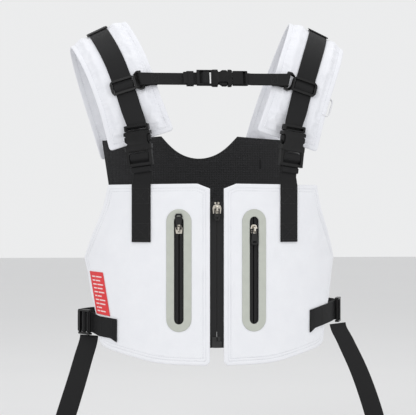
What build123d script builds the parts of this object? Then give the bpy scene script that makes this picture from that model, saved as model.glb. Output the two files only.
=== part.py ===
"""Light harness vest with welded pockets, shoulder pads, a sternum strap and side adjusters.

The vest is held in the shape it has on a wearer. X is across the chest, the front faces -Y and +Z is up.
The origin is on the torso's axis, at the height of the front panels' lowest hem.
"""

import os
from math import cos, radians, sin, sqrt

from build123d import *

os.makedirs("parts", exist_ok=True)

# ---- driving dimensions, mm ----
chest_half_width = 165.0  # the panels' outer face is an ellipse in plan
chest_half_depth = 118.0
panel_thick = 1.8
layer_gap = 0.35  # clearance between sewn layers
web_thick = 1.6
web_width = 25.0
hem_reach = 330.0  # deeper than the torso, for cuts that go right through
torso_heights = (-20.0, 320.0)

zip_gap_half = 8.5  # half of the opening between the two front panels
tape_thick = 0.7
tape_out = -2.1  # outer face of a zip tape, behind the panel's face
coil_inner = 0.7  # the two coils leave room for the slider's wedge
coil_outer = 2.9
coil_back = -4.4
front_zip_low, front_zip_high = 36.3, 200.0
front_slider_z = 191.5

pocket_x = 46.3
pocket_z = 116.5
pocket_slot = (132.0, 12.0)
pocket_tape = (150.0, 31.0)
pocket_slider_v = 50.5  # the slider's height above the middle of its pocket zip

pad_width = 78.0
pad_flare, flare_end = 6.0, 0.12  # extra width at a pad's front end, gone by this share of the line
pad_thick = 6.5
pad_gap = 0.6  # between a pad and the webbing over it
lock_places = {"right": (-42.0, 50.0), "left": (-24.0, 62.5)}  # depth and height of each side lock
# how far out and how high each tab's middle is, at its inner end and where it bends up to its lock
tab_lines = {"right": ((120.0, 43.0), (142.0, 46.0)), "left": ((120.0, 53.0), (142.0, 58.5))}
lock_offset = 3.4  # from the sewn layers to the middle of a lock
half_web = web_width / 2
tab_flare, tab_flare_run = 3.5, 9.0  # the lower corner of a tab's inner end flares out
strap_start = 106.0  # distance from the middle of the back to a side strap's sewn end
buckle_offset = 5.5  # from the panels' face to the middle of a shoulder buckle
shoulder_lean = 7.0  # degrees that the shoulder buckles lean outwards
sternum_at = 0.18  # where the sternum slider sits, as a share of the shoulder line

FRONT = Plane(origin=(0, -hem_reach, 0), x_dir=(1, 0, 0), z_dir=(0, -1, 0))
SIDES = (("right", -1), ("left", 1))  # the wearer's right is at -X


def save(part, name):
    """Labels a finished piece and writes it under its own name."""
    part.part.label = name
    export_step(part.part, f"parts/{name}.step")


def side_view(plane):
    """The plane across a strap's width, with its x along the strap and its y outwards."""
    return Plane(origin=plane.origin, x_dir=plane.y_dir, z_dir=plane.x_dir)


def shifted(plane, along):
    """The same plane with its origin moved along its own y."""
    return Plane(origin=plane.origin + plane.y_dir * along, x_dir=plane.x_dir, z_dir=plane.z_dir)


def outward_plane(side, x, offset, height, lean=0.0):
    """A plane that lies on the chest at x from its middle: its y is up and its z is outwards."""
    y = -chest_half_depth * sqrt(1 - (x / chest_half_width) ** 2)
    normal = Vector(side * x / chest_half_width**2, y / chest_half_depth**2, 0).normalized()
    across = Vector(-normal.Y, normal.X, 0)
    tilt = side * radians(lean)
    x_dir = across * cos(tilt) - Vector(0, 0, 1) * sin(tilt)
    return Plane(origin=Vector(side * x, y, height) + normal * offset, x_dir=x_dir, z_dir=normal)


def add_shell(low, high, inner, outer):
    """Adds a wall that follows the chest, between two heights and two distances from the panels' face."""
    with BuildSketch(Plane.XY.offset(low), mode=Mode.PRIVATE) as ring:
        Ellipse(chest_half_width + outer, chest_half_depth + outer)
        Ellipse(chest_half_width + inner, chest_half_depth + inner, mode=Mode.SUBTRACT)
    extrude(ring.sketch, amount=high - low)


def front_outline(points):
    """A face in the front view through (x, z) points joined by straight lines."""
    with BuildSketch(FRONT) as face:
        with BuildLine():
            Polyline(*points, close=True)
        make_face()
    return face.sketch


# a panel's outer edges, as distance from the middle and height
arm_edge = [(131.5, 221.5), (138.5, 191), (147, 168.4), (155.2, 145.2), (159.7, 130.5)]
flank_edge = [(159.7, 130.5), (155, 109), (150.8, 82.6), (146, 61.6), (142.5, 36)]
hem_corner = [(142.5, 36), (139.5, 23.5), (128, 16.8)]
hem_edge = [(128, 16.8), (100.7, 9.5), (77.1, 4.0), (37.7, 1.0), (12.5, 0.4)]


def panel_outline(side):
    """A front panel's outline: straight at the zip, hollow at the arm, rounded at the hem."""
    with BuildSketch(FRONT) as face:
        with BuildLine():
            Polyline(
                (side * 12.5, 0.4),
                (side * zip_gap_half, 4.5),
                (side * zip_gap_half, 216.5),
                (side * 24, 222.5),
                (side * 131.5, 221.5),
            )
            Spline(*[(side * x, z) for x, z in arm_edge])
            Spline(*[(side * x, z) for x, z in flank_edge])
            Spline(*[(side * x, z) for x, z in hem_corner])
            Spline(*[(side * x, z) for x, z in hem_edge])
        make_face()
    return face.sketch


def chest_band(name, outline, inner, outer):
    """A layer that lies on the chest, between two distances from the panel's face, cut to a front outline."""
    with BuildPart() as layer:
        add_shell(*torso_heights, inner, outer)
        extrude(outline, amount=hem_reach, dir=(0, 1, 0), mode=Mode.INTERSECT)
    save(layer, name)


# ---- front panels with their pocket slots ----
pocket_planes = {side: outward_plane(side, pocket_x, 0, pocket_z) for _, side in SIDES}
for name, side in SIDES:
    with BuildPart() as panel:
        add_shell(*torso_heights, -panel_thick, 0)
        extrude(panel_outline(side), amount=hem_reach, dir=(0, 1, 0), mode=Mode.INTERSECT)
        with BuildSketch(pocket_planes[side].offset(-20)):
            SlotOverall(*pocket_slot, rotation=90)
        extrude(amount=40, mode=Mode.SUBTRACT)
    save(panel, f"front_panel_{name}")

# ---- welded tape round each pocket slot, and the pocket bag behind it ----
for name, side in SIDES:
    with BuildPart() as weld:
        add_shell(*torso_heights, 0.3, 0.9)
        with BuildSketch(pocket_planes[side].offset(-20)):
            SlotOverall(*pocket_tape, rotation=90)
            SlotOverall(*pocket_slot, rotation=90, mode=Mode.SUBTRACT)
        extrude(amount=40, mode=Mode.INTERSECT)
    save(weld, f"pocket_weld_tape_{name}")
    bag_outline = [(side * 20, 16), (side * 20, 196), (side * 112, 196), (side * 122, 120), (side * 112, 24)]
    chest_band(f"pocket_bag_{name}", front_outline(bag_outline), -7.2, -6.2)

# ---- zip chains: two tapes, each with its coil along the inner edge ----
for name, side in SIDES:
    with BuildPart() as chain:
        add_shell(*torso_heights, tape_out - tape_thick, tape_out)
        with BuildSketch(pocket_planes[side].offset(-20)):
            with Locations((6.0, 0), (-6.0, 0)):
                Rectangle(2 * (6.0 - coil_inner), 144)
        extrude(amount=40, mode=Mode.INTERSECT)
        with BuildSketch(pocket_planes[side].offset(coil_back)):
            with Locations((1.8, 0), (-1.8, 0)):
                Rectangle(coil_outer - coil_inner, 134)
        extrude(amount=tape_out - 0.3 - coil_back)
    save(chain, f"pocket_zip_chain_{name}")

FRONT_ZIP = Plane(origin=(0, -chest_half_depth, 0), x_dir=(1, 0, 0), z_dir=(0, -1, 0))
for name, side in SIDES:
    tape_outline = [
        (side * coil_inner, front_zip_low),
        (side * coil_inner, front_zip_high),
        (side * 15, front_zip_high),
        (side * 15, 22),
        (side * 6.6, 22),
        (side * 6.6, front_zip_low),
    ]
    with BuildPart() as tape:
        add_shell(*torso_heights, tape_out - tape_thick, tape_out)
        extrude(front_outline(tape_outline), amount=hem_reach, dir=(0, 1, 0), mode=Mode.INTERSECT)
        with BuildSketch(FRONT_ZIP.offset(coil_back)):
            with Locations((side * 1.8, (front_zip_low + front_zip_high) / 2)):
                Rectangle(coil_outer - coil_inner, front_zip_high - front_zip_low - 1)
        extrude(amount=tape_out - 0.3 - coil_back)
    save(tape, f"front_zip_tape_{name}")

with BuildPart() as zip_box:
    with BuildSketch(FRONT_ZIP.offset(-4.8)):
        with Locations((0, 26)):
            RectangleRounded(12, 8, 1)
        with Locations((-3.2, 31.5)):
            RectangleRounded(5.6, 8, 1)
    extrude(amount=4.0)
save(zip_box, "zip_box")

with BuildPart() as zip_pin:
    with BuildSketch(FRONT_ZIP.offset(-4.4)):
        with Locations((2.6, 33)):
            RectangleRounded(3.6, 5.2, 0.8)
    extrude(amount=3.2)
save(zip_pin, "zip_pin")

with BuildPart() as zip_stops:
    with BuildSketch(FRONT_ZIP.offset(tape_out + 0.1)):
        with Locations((1.9, 198.6), (-1.9, 198.6)):
            RectangleRounded(2.2, 2.4, 0.4)
    extrude(amount=1.0)
save(zip_stops, "zip_top_stops")

# ---- zip sliders and their pullers ----
plate_thick = 1.1
slider_tall = 11.0
puller_axis = 1.9  # height of the puller's cross bar above the panel's face


def zip_slider(name, plane, half):
    """A slider whose plates run either side of the tape, joined by a wedge, with a bridge in front."""
    half_tall = slider_tall / 2
    lower = half - 0.7
    shape = [(-lower, -half_tall), (lower, -half_tall), (half, 1), (half - 1, 4.2), (1.6, half_tall)]
    shape += [(-1.6, half_tall), (1 - half, 4.2), (-half, 1)]
    back_face = coil_back - 0.2
    with BuildPart() as slider:
        with BuildSketch(plane.offset(tape_out + 0.2)):
            with BuildLine():
                Polyline(*shape, close=True)
            make_face()
        extrude(amount=plate_thick)
        with BuildSketch(plane.offset(back_face - plate_thick)):
            with BuildLine():
                Polyline(*shape, close=True)
            make_face()
        extrude(amount=plate_thick)
        with BuildSketch(plane.offset(back_face - 0.1)):
            with Locations((half - 0.95, -2.2), (0.95 - half, -2.2)):
                Rectangle(0.6, 6)
        extrude(amount=1.5)
        with BuildSketch(plane.offset(back_face - 0.1)):
            with Locations((0, 3.2)):
                Rectangle(0.9, 4)
        extrude(amount=tape_out + 0.4 - back_face)
        with BuildSketch(side_view(plane)):
            with BuildLine():
                Polyline((-4, -1), (-4, 1.8), (-2.6, 3.6), (2.6, 3.6), (4, 1.8), (4, -1), close=True)
            make_face()
            with Locations((0, 0.8)):
                Rectangle(5.2, 3.6, mode=Mode.SUBTRACT)
        extrude(amount=1.0, both=True)
    save(slider, name)


def zip_puller(name, plane, hang, length, wide):
    """A puller whose cross bar passes under the bridge; hang is -1 when it hangs and 1 when flipped up."""
    with BuildPart() as puller:
        with BuildSketch(side_view(plane)):
            with Locations((0, puller_axis)):
                Circle(0.6)
        extrude(amount=3.3, both=True)
        with BuildSketch(plane.offset(puller_axis - 0.6)):
            with Locations((2.65, hang * 3), (-2.65, hang * 3)):
                Rectangle(1.3, 7)
            with BuildLine():
                Polyline(
                    (-3.3, hang * 5.6),
                    (-wide / 2, hang * (length - 3)),
                    (-wide / 2 + 1.5, hang * length),
                    (wide / 2 - 1.5, hang * length),
                    (wide / 2, hang * (length - 3)),
                    (3.3, hang * 5.6),
                    close=True,
                )
            make_face()
            with Locations((0, hang * (length - 3.2))):
                SlotOverall(wide - 4.4, 1.8, mode=Mode.SUBTRACT)
        extrude(amount=1.2)
    save(puller, name)


front_slider_plane = shifted(FRONT_ZIP, front_slider_z)
zip_slider("front_zip_slider", front_slider_plane, 5.4)
zip_puller("front_zip_puller", front_slider_plane, -1, 14.0, 7.4)
for name, side in SIDES:
    slider_plane = shifted(pocket_planes[side], pocket_slider_v)
    zip_slider(f"pocket_zip_slider_{name}", slider_plane, 4.4)
    hang = 1 if name == "right" else -1
    zip_puller(f"pocket_zip_puller_{name}", slider_plane, hang, 19.0, 9.4)

# ---- the shoulder line: the underside of a pad, from the chest over the shoulder to the back ----
shoulder_points = [
    (89.5, -87.6, 275.5),
    (98.5, -85, 304),
    (109, -78.5, 337),
    (120, -66.5, 368),
    (131, -42, 393.5),
    (139, -8, 410.5),
    (139.5, 26, 407.5),
    (132.5, 60, 383),
    (119, 87, 341),
    (105, 99.8, 297),
    (95, 103.2, 262),
]
with BuildLine() as shoulder_build:
    Spline(*shoulder_points)
shoulder_line = shoulder_build.line.edge()
shoulder_length = shoulder_line.length


def shoulder_frame(side, t):
    """Point, tangent and outward normal of one shoulder line at a share t of its length."""
    point = shoulder_line.position_at(t)
    tangent = shoulder_line.tangent_at(t)
    turn = radians(-14 * point.Y / 100)
    rise = max(0.0, (point.Z - 275) / 127)
    across = Vector(cos(turn), sin(turn), -0.42 * rise**2)
    across = (across - tangent * across.dot(tangent)).normalized()
    normal = tangent.cross(across * -1).normalized()
    return tuple(Vector(side * v.X, v.Y, v.Z) for v in (point, tangent, across, normal))


def section_plane(side, t, height):
    """A strap's cross section at t: its x is across the strap, towards -X, and its y outwards."""
    point, tangent, across, normal = shoulder_frame(side, t)
    return Plane(origin=point + normal * height, x_dir=across * -side, z_dir=tangent)


def strap_plane(side, t, height, lean=0.0):
    """A plane on the strap's face at t: its y runs up the strap, its z outwards; lean turns it upright."""
    point, tangent, across, normal = shoulder_frame(side, t)
    turn = side * radians(lean)
    x_dir = across * (side * cos(turn)) + tangent * sin(turn)
    return Plane(origin=point + normal * height, x_dir=x_dir, z_dir=normal)


def steps(start, end, count):
    """Evenly spaced values from start to end."""
    return [start + (end - start) * i / (count - 1) for i in range(count)]


pad_end = 0.985
for name, side in SIDES:
    with BuildPart() as pad:
        for t in steps(0.0, pad_end, 27):
            with BuildSketch(section_plane(side, t, pad_thick / 2)):
                Rectangle(pad_width + pad_flare * max(0.0, 1 - t / flare_end), pad_thick)
        loft(ruled=True)
    save(pad, f"shoulder_pad_{name}")


# ---- side release buckles ----
class Buckle:
    """Sizes of one side release buckle, with its frame on the body's lower edge: y towards the mouth."""

    depth = 4.5
    cavity_depth = 3.3
    floor = 3.0
    bar_depth = 1.4
    squeeze = 8.0

    def __init__(self, plane, web, half, length, base, window, tongue):
        self.plane, self.web, self.half, self.length, self.base = plane, web, half, length, base
        self.window_low, self.window_high = window
        self.tongue = tongue
        self.cavity = half - 2.4
        self.stem_out = self.cavity * 0.76
        self.stem_in = self.stem_out - 2.0
        self.pivot = length - 1.4
        self.ladder = 18.0


def female_half(name, b):
    """The hollow body with a window in each side for the latch arms, and the ladder that grips a strap."""
    rail_in = b.web / 2 + 0.5
    rail = b.half - 0.6 - rail_in
    with BuildPart() as body:
        with BuildSketch(b.plane.offset(-b.depth)):
            with Locations((0, b.length / 2)):
                RectangleRounded(2 * b.half, b.length, 2.4)
        extrude(amount=2 * b.depth)
        edges = body.edges().filter_by(GeomType.LINE).filter_by(Axis(b.plane.origin, b.plane.x_dir))
        chamfer(edges, 1.2)
        with BuildSketch(b.plane.offset(-b.cavity_depth)):
            with Locations((0, (b.floor + b.length + 2) / 2)):
                Rectangle(2 * b.cavity, b.length + 2 - b.floor)
        extrude(amount=2 * b.cavity_depth, mode=Mode.SUBTRACT)
        middle = (b.window_low + b.window_high) / 2
        with BuildSketch(b.plane.offset(-b.depth - 1)):
            with Locations((b.half + 1, middle), (-b.half - 1, middle)):
                RectangleRounded(2 * (b.half - b.cavity + 2.6), b.window_high - b.window_low, 2.6)
        extrude(amount=2 * b.depth + 2, mode=Mode.SUBTRACT)
        with BuildSketch(b.plane.offset(-1.5)):
            with Locations((rail_in + rail / 2, -b.ladder / 2 + 1), (-rail_in - rail / 2, -b.ladder / 2 + 1)):
                Rectangle(rail, b.ladder + 2)
        extrude(amount=4.9)
        with BuildSketch(b.plane.offset(-b.bar_depth)):
            with Locations((0, -5.5)):
                Rectangle(2 * rail_in + rail, 3.4)
        extrude(amount=2 * b.bar_depth)
        with BuildSketch(b.plane.offset(0.6)):
            with Locations((0, -b.ladder + 1.7)):
                Rectangle(2 * rail_in + rail, 3.4)
        extrude(amount=2.8)
    save(body, name)


def male_half(name, b):
    """The base with its webbing slot, and the tongue that guides it into the body."""
    low, high = b.length + 0.4, b.length + b.base
    with BuildPart() as base:
        with BuildSketch(b.plane.offset(-3)):
            with Locations((0, (low + high) / 2)):
                RectangleRounded(2 * b.half - 3, high - low, 1.2)
        extrude(amount=6)
        with BuildSketch(b.plane.offset(-3.5)):
            with Locations((0, high - 4.2)):
                Rectangle(b.web + 0.8, 3.0)
        extrude(amount=7, mode=Mode.SUBTRACT)
        with BuildSketch(b.plane.offset(-3.5)):
            with Locations((0, high - 1)):
                Rectangle(b.web + 0.8, 6)
        extrude(amount=3.3, mode=Mode.SUBTRACT)
        with BuildSketch(b.plane.offset(-1.6)):
            with Locations((0, (b.floor + 5 + low + 0.5) / 2)):
                Rectangle(2 * b.tongue, low + 0.5 - b.floor - 5)
        extrude(amount=3.2)
    save(base, name)


def latch_arm(name, b, edge):
    """One springy arm: a stem inside the body with a barb that fills the side window."""
    barb = b.half - 0.3
    top, low = b.window_high - 0.6, b.window_low + 1.4
    with BuildPart() as arm:
        with BuildSketch(b.plane.offset(-2.9)):
            with BuildLine():
                Polyline(
                    (edge * b.stem_in, low - 1.5),
                    (edge * b.stem_in, b.pivot + 1),
                    (edge * b.stem_out, b.pivot + 1),
                    (edge * b.stem_out, top),
                    (edge * (barb - 0.8), top),
                    (edge * barb, top - 1.5),
                    (edge * barb, (top + low) / 2 - 1),
                    (edge * (b.stem_out + 1), low),
                    (edge * b.stem_out, low - 1.5),
                    close=True,
                )
            make_face()
        extrude(amount=5.8)
    save(arm, name)


def ladder_strap(b, start, tail, width):
    """Adds a strap that comes up behind the ladder, over its middle bar and out under its end bar."""
    with BuildSketch(side_view(b.plane), mode=Mode.PRIVATE) as profile:
        with BuildLine():
            FilletPolyline(
                (start, -2.6),
                (-2.6, -2.6),
                (-2.6, 2.6),
                (-9, 2.6),
                (-13.2, -0.6),
                (tail, -0.6),
                radius=1.3,
            )
        trace(line_width=web_thick)
    extrude(profile.sketch, amount=width / 2, both=True)


# ---- shoulder buckles, on the webbing that is sewn to the panels ----
shoulder_buckles = {}
for name, side in SIDES:
    buckle_plane = outward_plane(side, 91.5, buckle_offset, 262, lean=shoulder_lean)
    shoulder_buckles[side] = Buckle(buckle_plane, web_width, 17.4, 25.0, 7.8, (7.5, 20.0), 2.4)
    female_half(f"shoulder_buckle_body_{name}", shoulder_buckles[side])
    male_half(f"shoulder_buckle_base_{name}", shoulder_buckles[side])
    latch_arm(f"shoulder_buckle_arm_{name}_inner", shoulder_buckles[side], -side)
    latch_arm(f"shoulder_buckle_arm_{name}_outer", shoulder_buckles[side], side)

for name, side in SIDES:
    with BuildPart() as chest_webbing:
        add_shell(*torso_heights, layer_gap, layer_gap + web_thick)
        sewn = [(side * 78.5, 151), (side * 78.5, 234), (side * 104, 234), (side * 104, 151)]
        extrude(front_outline(sewn), amount=hem_reach, dir=(0, 1, 0), mode=Mode.INTERSECT)
        ladder_strap(shoulder_buckles[side], -33, -25, web_width)
    save(chest_webbing, f"chest_webbing_{name}")

# ---- shoulder webbing: from the buckle's base, over the pad, to the back ----
slider_t = sternum_at
web_low = pad_thick + pad_gap + web_thick / 2
bump = 2.3  # the webbing rises over the slider's middle bar
for name, side in SIDES:
    b = shoulder_buckles[side]
    slot = b.length + b.base - 5.0
    with BuildPart() as shoulder_webbing:
        for v, w in ((slot, -1.5), (slot + 5.5, -1.6)):
            origin = b.plane.origin + b.plane.y_dir * v + b.plane.z_dir * w
            with BuildSketch(Plane(origin=origin, x_dir=b.plane.x_dir * -1, z_dir=b.plane.y_dir)):
                Rectangle(web_width, web_thick)
        near = [slider_t + d / shoulder_length for d in (-11, -6.4, -2.6, 2.6, 6.4, 11)]
        lifts = [0, 0, bump, bump, 0, 0]
        places = [(0.1, 2.0), (0.13, 0.7)] + list(zip(near, lifts))
        places += [(t, 0) for t in steps(0.25, 0.975, 25)]
        for t, lift in places:
            with BuildSketch(section_plane(side, t, web_low + lift)):
                Rectangle(web_width, web_thick)
        loft(ruled=True)
    save(shoulder_webbing, f"shoulder_webbing_{name}")

# ---- stitched bands that hold the webbing to the top of each pad ----
for name, side in SIDES:
    with BuildPart() as band:
        for t in steps(0.435, 0.475, 3):
            with BuildSketch(section_plane(side, t, web_low + web_thick / 2 + 0.8)):
                Rectangle(28, 0.9)
        loft(ruled=True)
    save(band, f"shoulder_band_{name}")

# ---- sternum sliders: a frame on each shoulder webbing, with a side loop for the strap ----
slider_base = pad_thick + pad_gap
loop_reach = 24.0
sternum_planes = {side: strap_plane(side, slider_t, 0, lean=3) for _, side in SIDES}
for name, side in SIDES:
    plane = sternum_planes[side]
    inward = -side
    with BuildPart() as slider:
        with BuildSketch(plane.offset(slider_base)):
            RectangleRounded(33, 19, 6)
            Rectangle(26.4, 13.4, mode=Mode.SUBTRACT)
        extrude(amount=4.4)
        with BuildSketch(plane.offset(slider_base - 1)):
            Rectangle(26.4, 30)
        extrude(amount=3.1, mode=Mode.SUBTRACT)
        with BuildSketch(plane.offset(slider_base)):
            Rectangle(28, 2.8)
        extrude(amount=1.6)
        with BuildSketch(plane.offset(slider_base + 2.0)):
            with BuildLine():
                Polyline(
                    (inward * 15, -9),
                    (inward * 15, 9),
                    (inward * 20, 12.4),
                    (inward * (loop_reach + 1.4), 11.6),
                    (inward * (loop_reach + 1.4), -11.6),
                    (inward * 20, -12.4),
                    close=True,
                )
            make_face()
            with Locations((inward * 19.4, 0)):
                Rectangle(6.4, 19.4, mode=Mode.SUBTRACT)
        extrude(amount=2.8)
    save(slider, f"sternum_slider_{name}")

# ---- sternum strap with its buckle, across the chest between the two sliders ----
loop_centres = {
    side: plane.origin + plane.x_dir * (-side * loop_reach) + plane.z_dir * (slider_base + 3.4)
    for side, plane in sternum_planes.items()
}
sternum_y = loop_centres[1].Y
sternum_z = loop_centres[1].Z
sternum_tilt = 20.0
sternum_web = 16.0
sternum_normal = Vector(0, -cos(radians(sternum_tilt)), sin(radians(sternum_tilt)))
eye_inner, eye_outer = 2.1, 3.5
strap_rise = eye_outer - web_thick / 2  # the strap leaves the front of its eye
buckle_origin = Vector(-5, sternum_y, sternum_z) + sternum_normal * (2.6 + strap_rise)
sternum_plane = Plane(origin=buckle_origin, x_dir=Vector(1, 0, 0).cross(sternum_normal), z_dir=sternum_normal)
sternum_buckle = Buckle(sternum_plane, sternum_web, 10.4, 26.0, 19.0, (8.0, 20.5), 1.2)
female_half("sternum_buckle_body", sternum_buckle)
male_half("sternum_buckle_base", sternum_buckle)
latch_arm("sternum_buckle_arm_lower", sternum_buckle, 1)
latch_arm("sternum_buckle_arm_upper", sternum_buckle, -1)

loop_x = loop_centres[1].X


def strap_eye(side):
    """Adds the sewn eye that closes a sternum strap's end round its slider's loop bar."""
    plane = sternum_planes[side]
    low = loop_centres[side] - plane.y_dir * (sternum_web / 2)
    eye = Plane(origin=low, x_dir=plane.x_dir, z_dir=plane.y_dir)
    with BuildSketch(eye, mode=Mode.PRIVATE) as ring:
        Circle(eye_outer)
        Circle(eye_inner, mode=Mode.SUBTRACT)
    extrude(ring.sketch, amount=sternum_web)


with BuildPart() as sternum_right:
    ladder_strap(sternum_buckle, -(loop_x - 5), -34, sternum_web)
    strap_eye(-1)
save(sternum_right, "sternum_webbing_right")

with BuildPart() as sternum_left:
    slot = sternum_buckle.length + sternum_buckle.base - 5.0
    with BuildSketch(side_view(sternum_plane)):
        with BuildLine():
            Polyline((slot, -1.5), (slot + 6, -1.5), (slot + 10, -2.6), (loop_x + 5, -2.6))
        trace(line_width=web_thick)
    extrude(amount=sternum_web / 2, both=True)
    strap_eye(1)
save(sternum_left, "sternum_webbing_left")

with BuildPart() as keeper:
    with BuildSketch(side_view(sternum_plane).offset(-sternum_web / 2 - 1.4)):
        with Locations((-26, -1.6)):
            Rectangle(9, 6.2)
    extrude(amount=sternum_web + 2.8)
    with BuildSketch(side_view(sternum_plane).offset(-sternum_web / 2 - 0.4)):
        with Locations((-26, -1.6)):
            Rectangle(11, 4.4)
    extrude(amount=sternum_web + 0.8, mode=Mode.SUBTRACT)
save(keeper, "sternum_keeper")

# ---- side adjusters: a tab on each panel, the ladder lock, the strap to the back and its loose tail ----
lock_rail = 13.2

# distance out, depth, height and turn in degrees along each tail; the left one hangs further out
tail_routes = {
    "right": [
        (153.5, -41.5, 33.2, 26.0),
        (153.7, -41.8, 27.0, 26.0),
        (160.0, -43.0, 8.0, 22.0),
        (168.0, -47.0, -20.0, 18.0),
        (177.5, -50.0, -50.0, 13.0),
        (187.0, -51.0, -80.0, 9.0),
        (195.0, -50.0, -110.0, 7.0),
        (200.0, -49.0, -138.0, 6.0),
    ],
    "left": [
        (163.5, -38.0, 45.6, 26.0),
        (163.9, -38.4, 40.0, 26.0),
        (171.0, -41.5, 27.0, 24.0),
        (176.0, -43.0, 16.0, 22.0),
        (188.0, -47.0, -10.0, 18.0),
        (199.0, -50.0, -40.0, 13.0),
        (210.0, -51.0, -75.0, 9.0),
        (217.0, -50.0, -108.0, 7.0),
        (221.0, -49.0, -138.0, 6.0),
    ],
}
for name, side in SIDES:
    lock_y, lock_z = lock_places[name]
    reach_w, reach_d = chest_half_width + 1.2, chest_half_depth + 1.2
    lock_x = reach_w * sqrt(1 - (lock_y / reach_d) ** 2)
    outward = Vector(side * lock_x / reach_w**2, lock_y / reach_d**2, 0).normalized()
    forward = Vector(outward.Y * side, -outward.X * side, 0)
    lock_origin = Vector(side * lock_x, lock_y, lock_z) + outward * lock_offset
    lock_plane = Plane(origin=lock_origin, x_dir=forward.cross(outward), z_dir=outward)
    front_bar, middle_bar, rear_bar = 11.4, -1.0, -11.8
    with BuildPart() as lock:
        with BuildSketch(lock_plane.offset(-2.4)):
            with Locations((lock_rail + 1.2, -0.4), (-lock_rail - 1.2, -0.4)):
                RectangleRounded(2.4, 27, 1)
        extrude(amount=4.8)
        with BuildSketch(side_view(lock_plane)):
            with Locations((front_bar, 0), (middle_bar, 0)):
                Circle(1.5)
            with Locations((rear_bar, 0.6)):
                Rectangle(3, 3.2)
        extrude(amount=lock_rail + 0.6, both=True)
    save(lock, f"side_lock_{name}")

    # the tab is sewn to the panel and closes round the front bar
    with BuildPart() as tab:
        add_shell(*torso_heights, layer_gap, layer_gap + web_thick)
        (start_x, start_z), (bend_x, bend_z) = tab_lines[name]
        flare_z = start_z + (bend_z - start_z) * tab_flare_run / (bend_x - start_x)
        tab_end = abs((lock_plane.origin + forward * front_bar).X) - 3
        tab_outline = [
            (side * start_x, start_z - half_web - tab_flare),
            (side * (start_x + tab_flare_run), flare_z - half_web),
            (side * bend_x, bend_z - half_web),
            (side * tab_end, lock_z - half_web),
            (side * (chest_half_width + 4), lock_z - half_web),
            (side * (chest_half_width + 4), lock_z + half_web),
            (side * tab_end, lock_z + half_web),
            (side * bend_x, bend_z + half_web),
            (side * start_x, start_z + half_web),
        ]
        with BuildSketch(FRONT):
            with BuildLine():
                Polyline(*tab_outline, close=True)
            make_face()
        extrude(amount=-hem_reach, mode=Mode.INTERSECT)
        split_at = Plane(origin=lock_plane.origin + forward * front_bar, z_dir=forward)
        split(bisect_by=split_at, keep=Keep.TOP)
        with BuildSketch(side_view(lock_plane)):
            with Locations((front_bar, 0)):
                Circle(3.5)
                Circle(1.9, mode=Mode.SUBTRACT)
        extrude(amount=web_width / 2, both=True)
    save(tab, f"side_tab_{name}")

    # the strap comes from the back, under the rear bar and round the middle bar
    with BuildPart() as strap:
        add_shell(lock_z - half_web, lock_z + half_web, layer_gap, layer_gap + web_thick)
        with BuildSketch(Plane.XY):
            with Locations((side * (strap_start + hem_reach / 2), lock_y + hem_reach / 2)):
                Rectangle(hem_reach, hem_reach)
        extrude(amount=hem_reach, mode=Mode.INTERSECT)
        with BuildSketch(side_view(lock_plane)):
            with Locations((middle_bar, 0)):
                Circle(3.5)
                Circle(1.9, mode=Mode.SUBTRACT)
        extrude(amount=web_width / 2, both=True)
    save(strap, f"side_strap_{name}")

    # the loose tail falls from the lock and turns towards the front
    with BuildPart() as tail:
        route = tail_routes[name]
        for i, (x, y, z, turn) in enumerate(route):
            before, after = route[max(i - 1, 0)], route[min(i + 1, len(route) - 1)]
            along = Vector(
                side * (after[0] - before[0]), after[1] - before[1], after[2] - before[2]
            ).normalized()
            across = Vector(cos(radians(turn)), side * sin(radians(turn)), 0)
            across = (across - along * across.dot(along)).normalized()
            with BuildSketch(Plane(origin=(side * x, y, z), x_dir=across, z_dir=along)):
                Rectangle(web_width, web_thick)
        loft(ruled=True)
    save(tail, f"side_tail_{name}")

# ---- the back: a yoke panel under the pads' ends, with the webbing sewn down it ----
BACK = Plane(origin=(0, hem_reach, 0), x_dir=(-1, 0, 0), z_dir=(0, 1, 0))
with BuildPart() as back_panel:
    add_shell(*torso_heights, -panel_thick, 0)
    with BuildSketch(BACK):
        with BuildLine():
            Polyline((-112, 24), (112, 24), (124, 80), (118, 180), (134, 282), (52, 290))
            Spline((52, 290), (28, 268), (0, 260), (-28, 268), (-52, 290))
            Polyline((-52, 290), (-134, 282), (-118, 180), (-124, 80), (-112, 24))
        make_face()
    extrude(amount=-hem_reach, mode=Mode.INTERSECT)
save(back_panel, "back_panel")

for name, side in SIDES:
    with BuildPart() as back_webbing:
        add_shell(*torso_heights, layer_gap, layer_gap + web_thick)
        with BuildSketch(BACK):
            with Locations((-side * 92, 149)):
                Rectangle(web_width, 218)
        extrude(amount=-hem_reach, mode=Mode.INTERSECT)
    save(back_webbing, f"back_webbing_{name}")

# ---- small trim: the care label on the wearer's right side, and the loop on the left pad's edge ----
label_outline = [(-152.6, 113.9), (-136.8, 112.6), (-128.3, 58.6), (-144.4, 61.2)]
chest_band("side_label", front_outline(label_outline), 0.3, 0.7)

with BuildPart() as pad_loop:
    loop_plane = strap_plane(1, 0.15, 3.2)
    with BuildSketch(loop_plane):
        with Locations((pad_width / 2 + 0.4, 0)):
            SlotOverall(27, 11, rotation=90)
            SlotOverall(23, 7, rotation=90, mode=Mode.SUBTRACT)
        with Locations((pad_width / 2 - 9.6, 0)):
            Rectangle(20, 40, mode=Mode.SUBTRACT)
    extrude(amount=1.5, both=True)
save(pad_loop, "pad_loop")
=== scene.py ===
"""Looks for the light harness vest: fabric panels, padded shoulders, webbing, buckles and zips.

Lengths in this file are millimetres in the row frame, and turn into metres when a mesh is made.
X is across the chest, the front faces -Y, +Z is up, and the wearer's right is at -X.
"""

from math import cos, pi, radians, sin, sqrt

import bpy
import numpy as np
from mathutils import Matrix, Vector, noise
from mathutils.geometry import delaunay_2d_cdt


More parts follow.
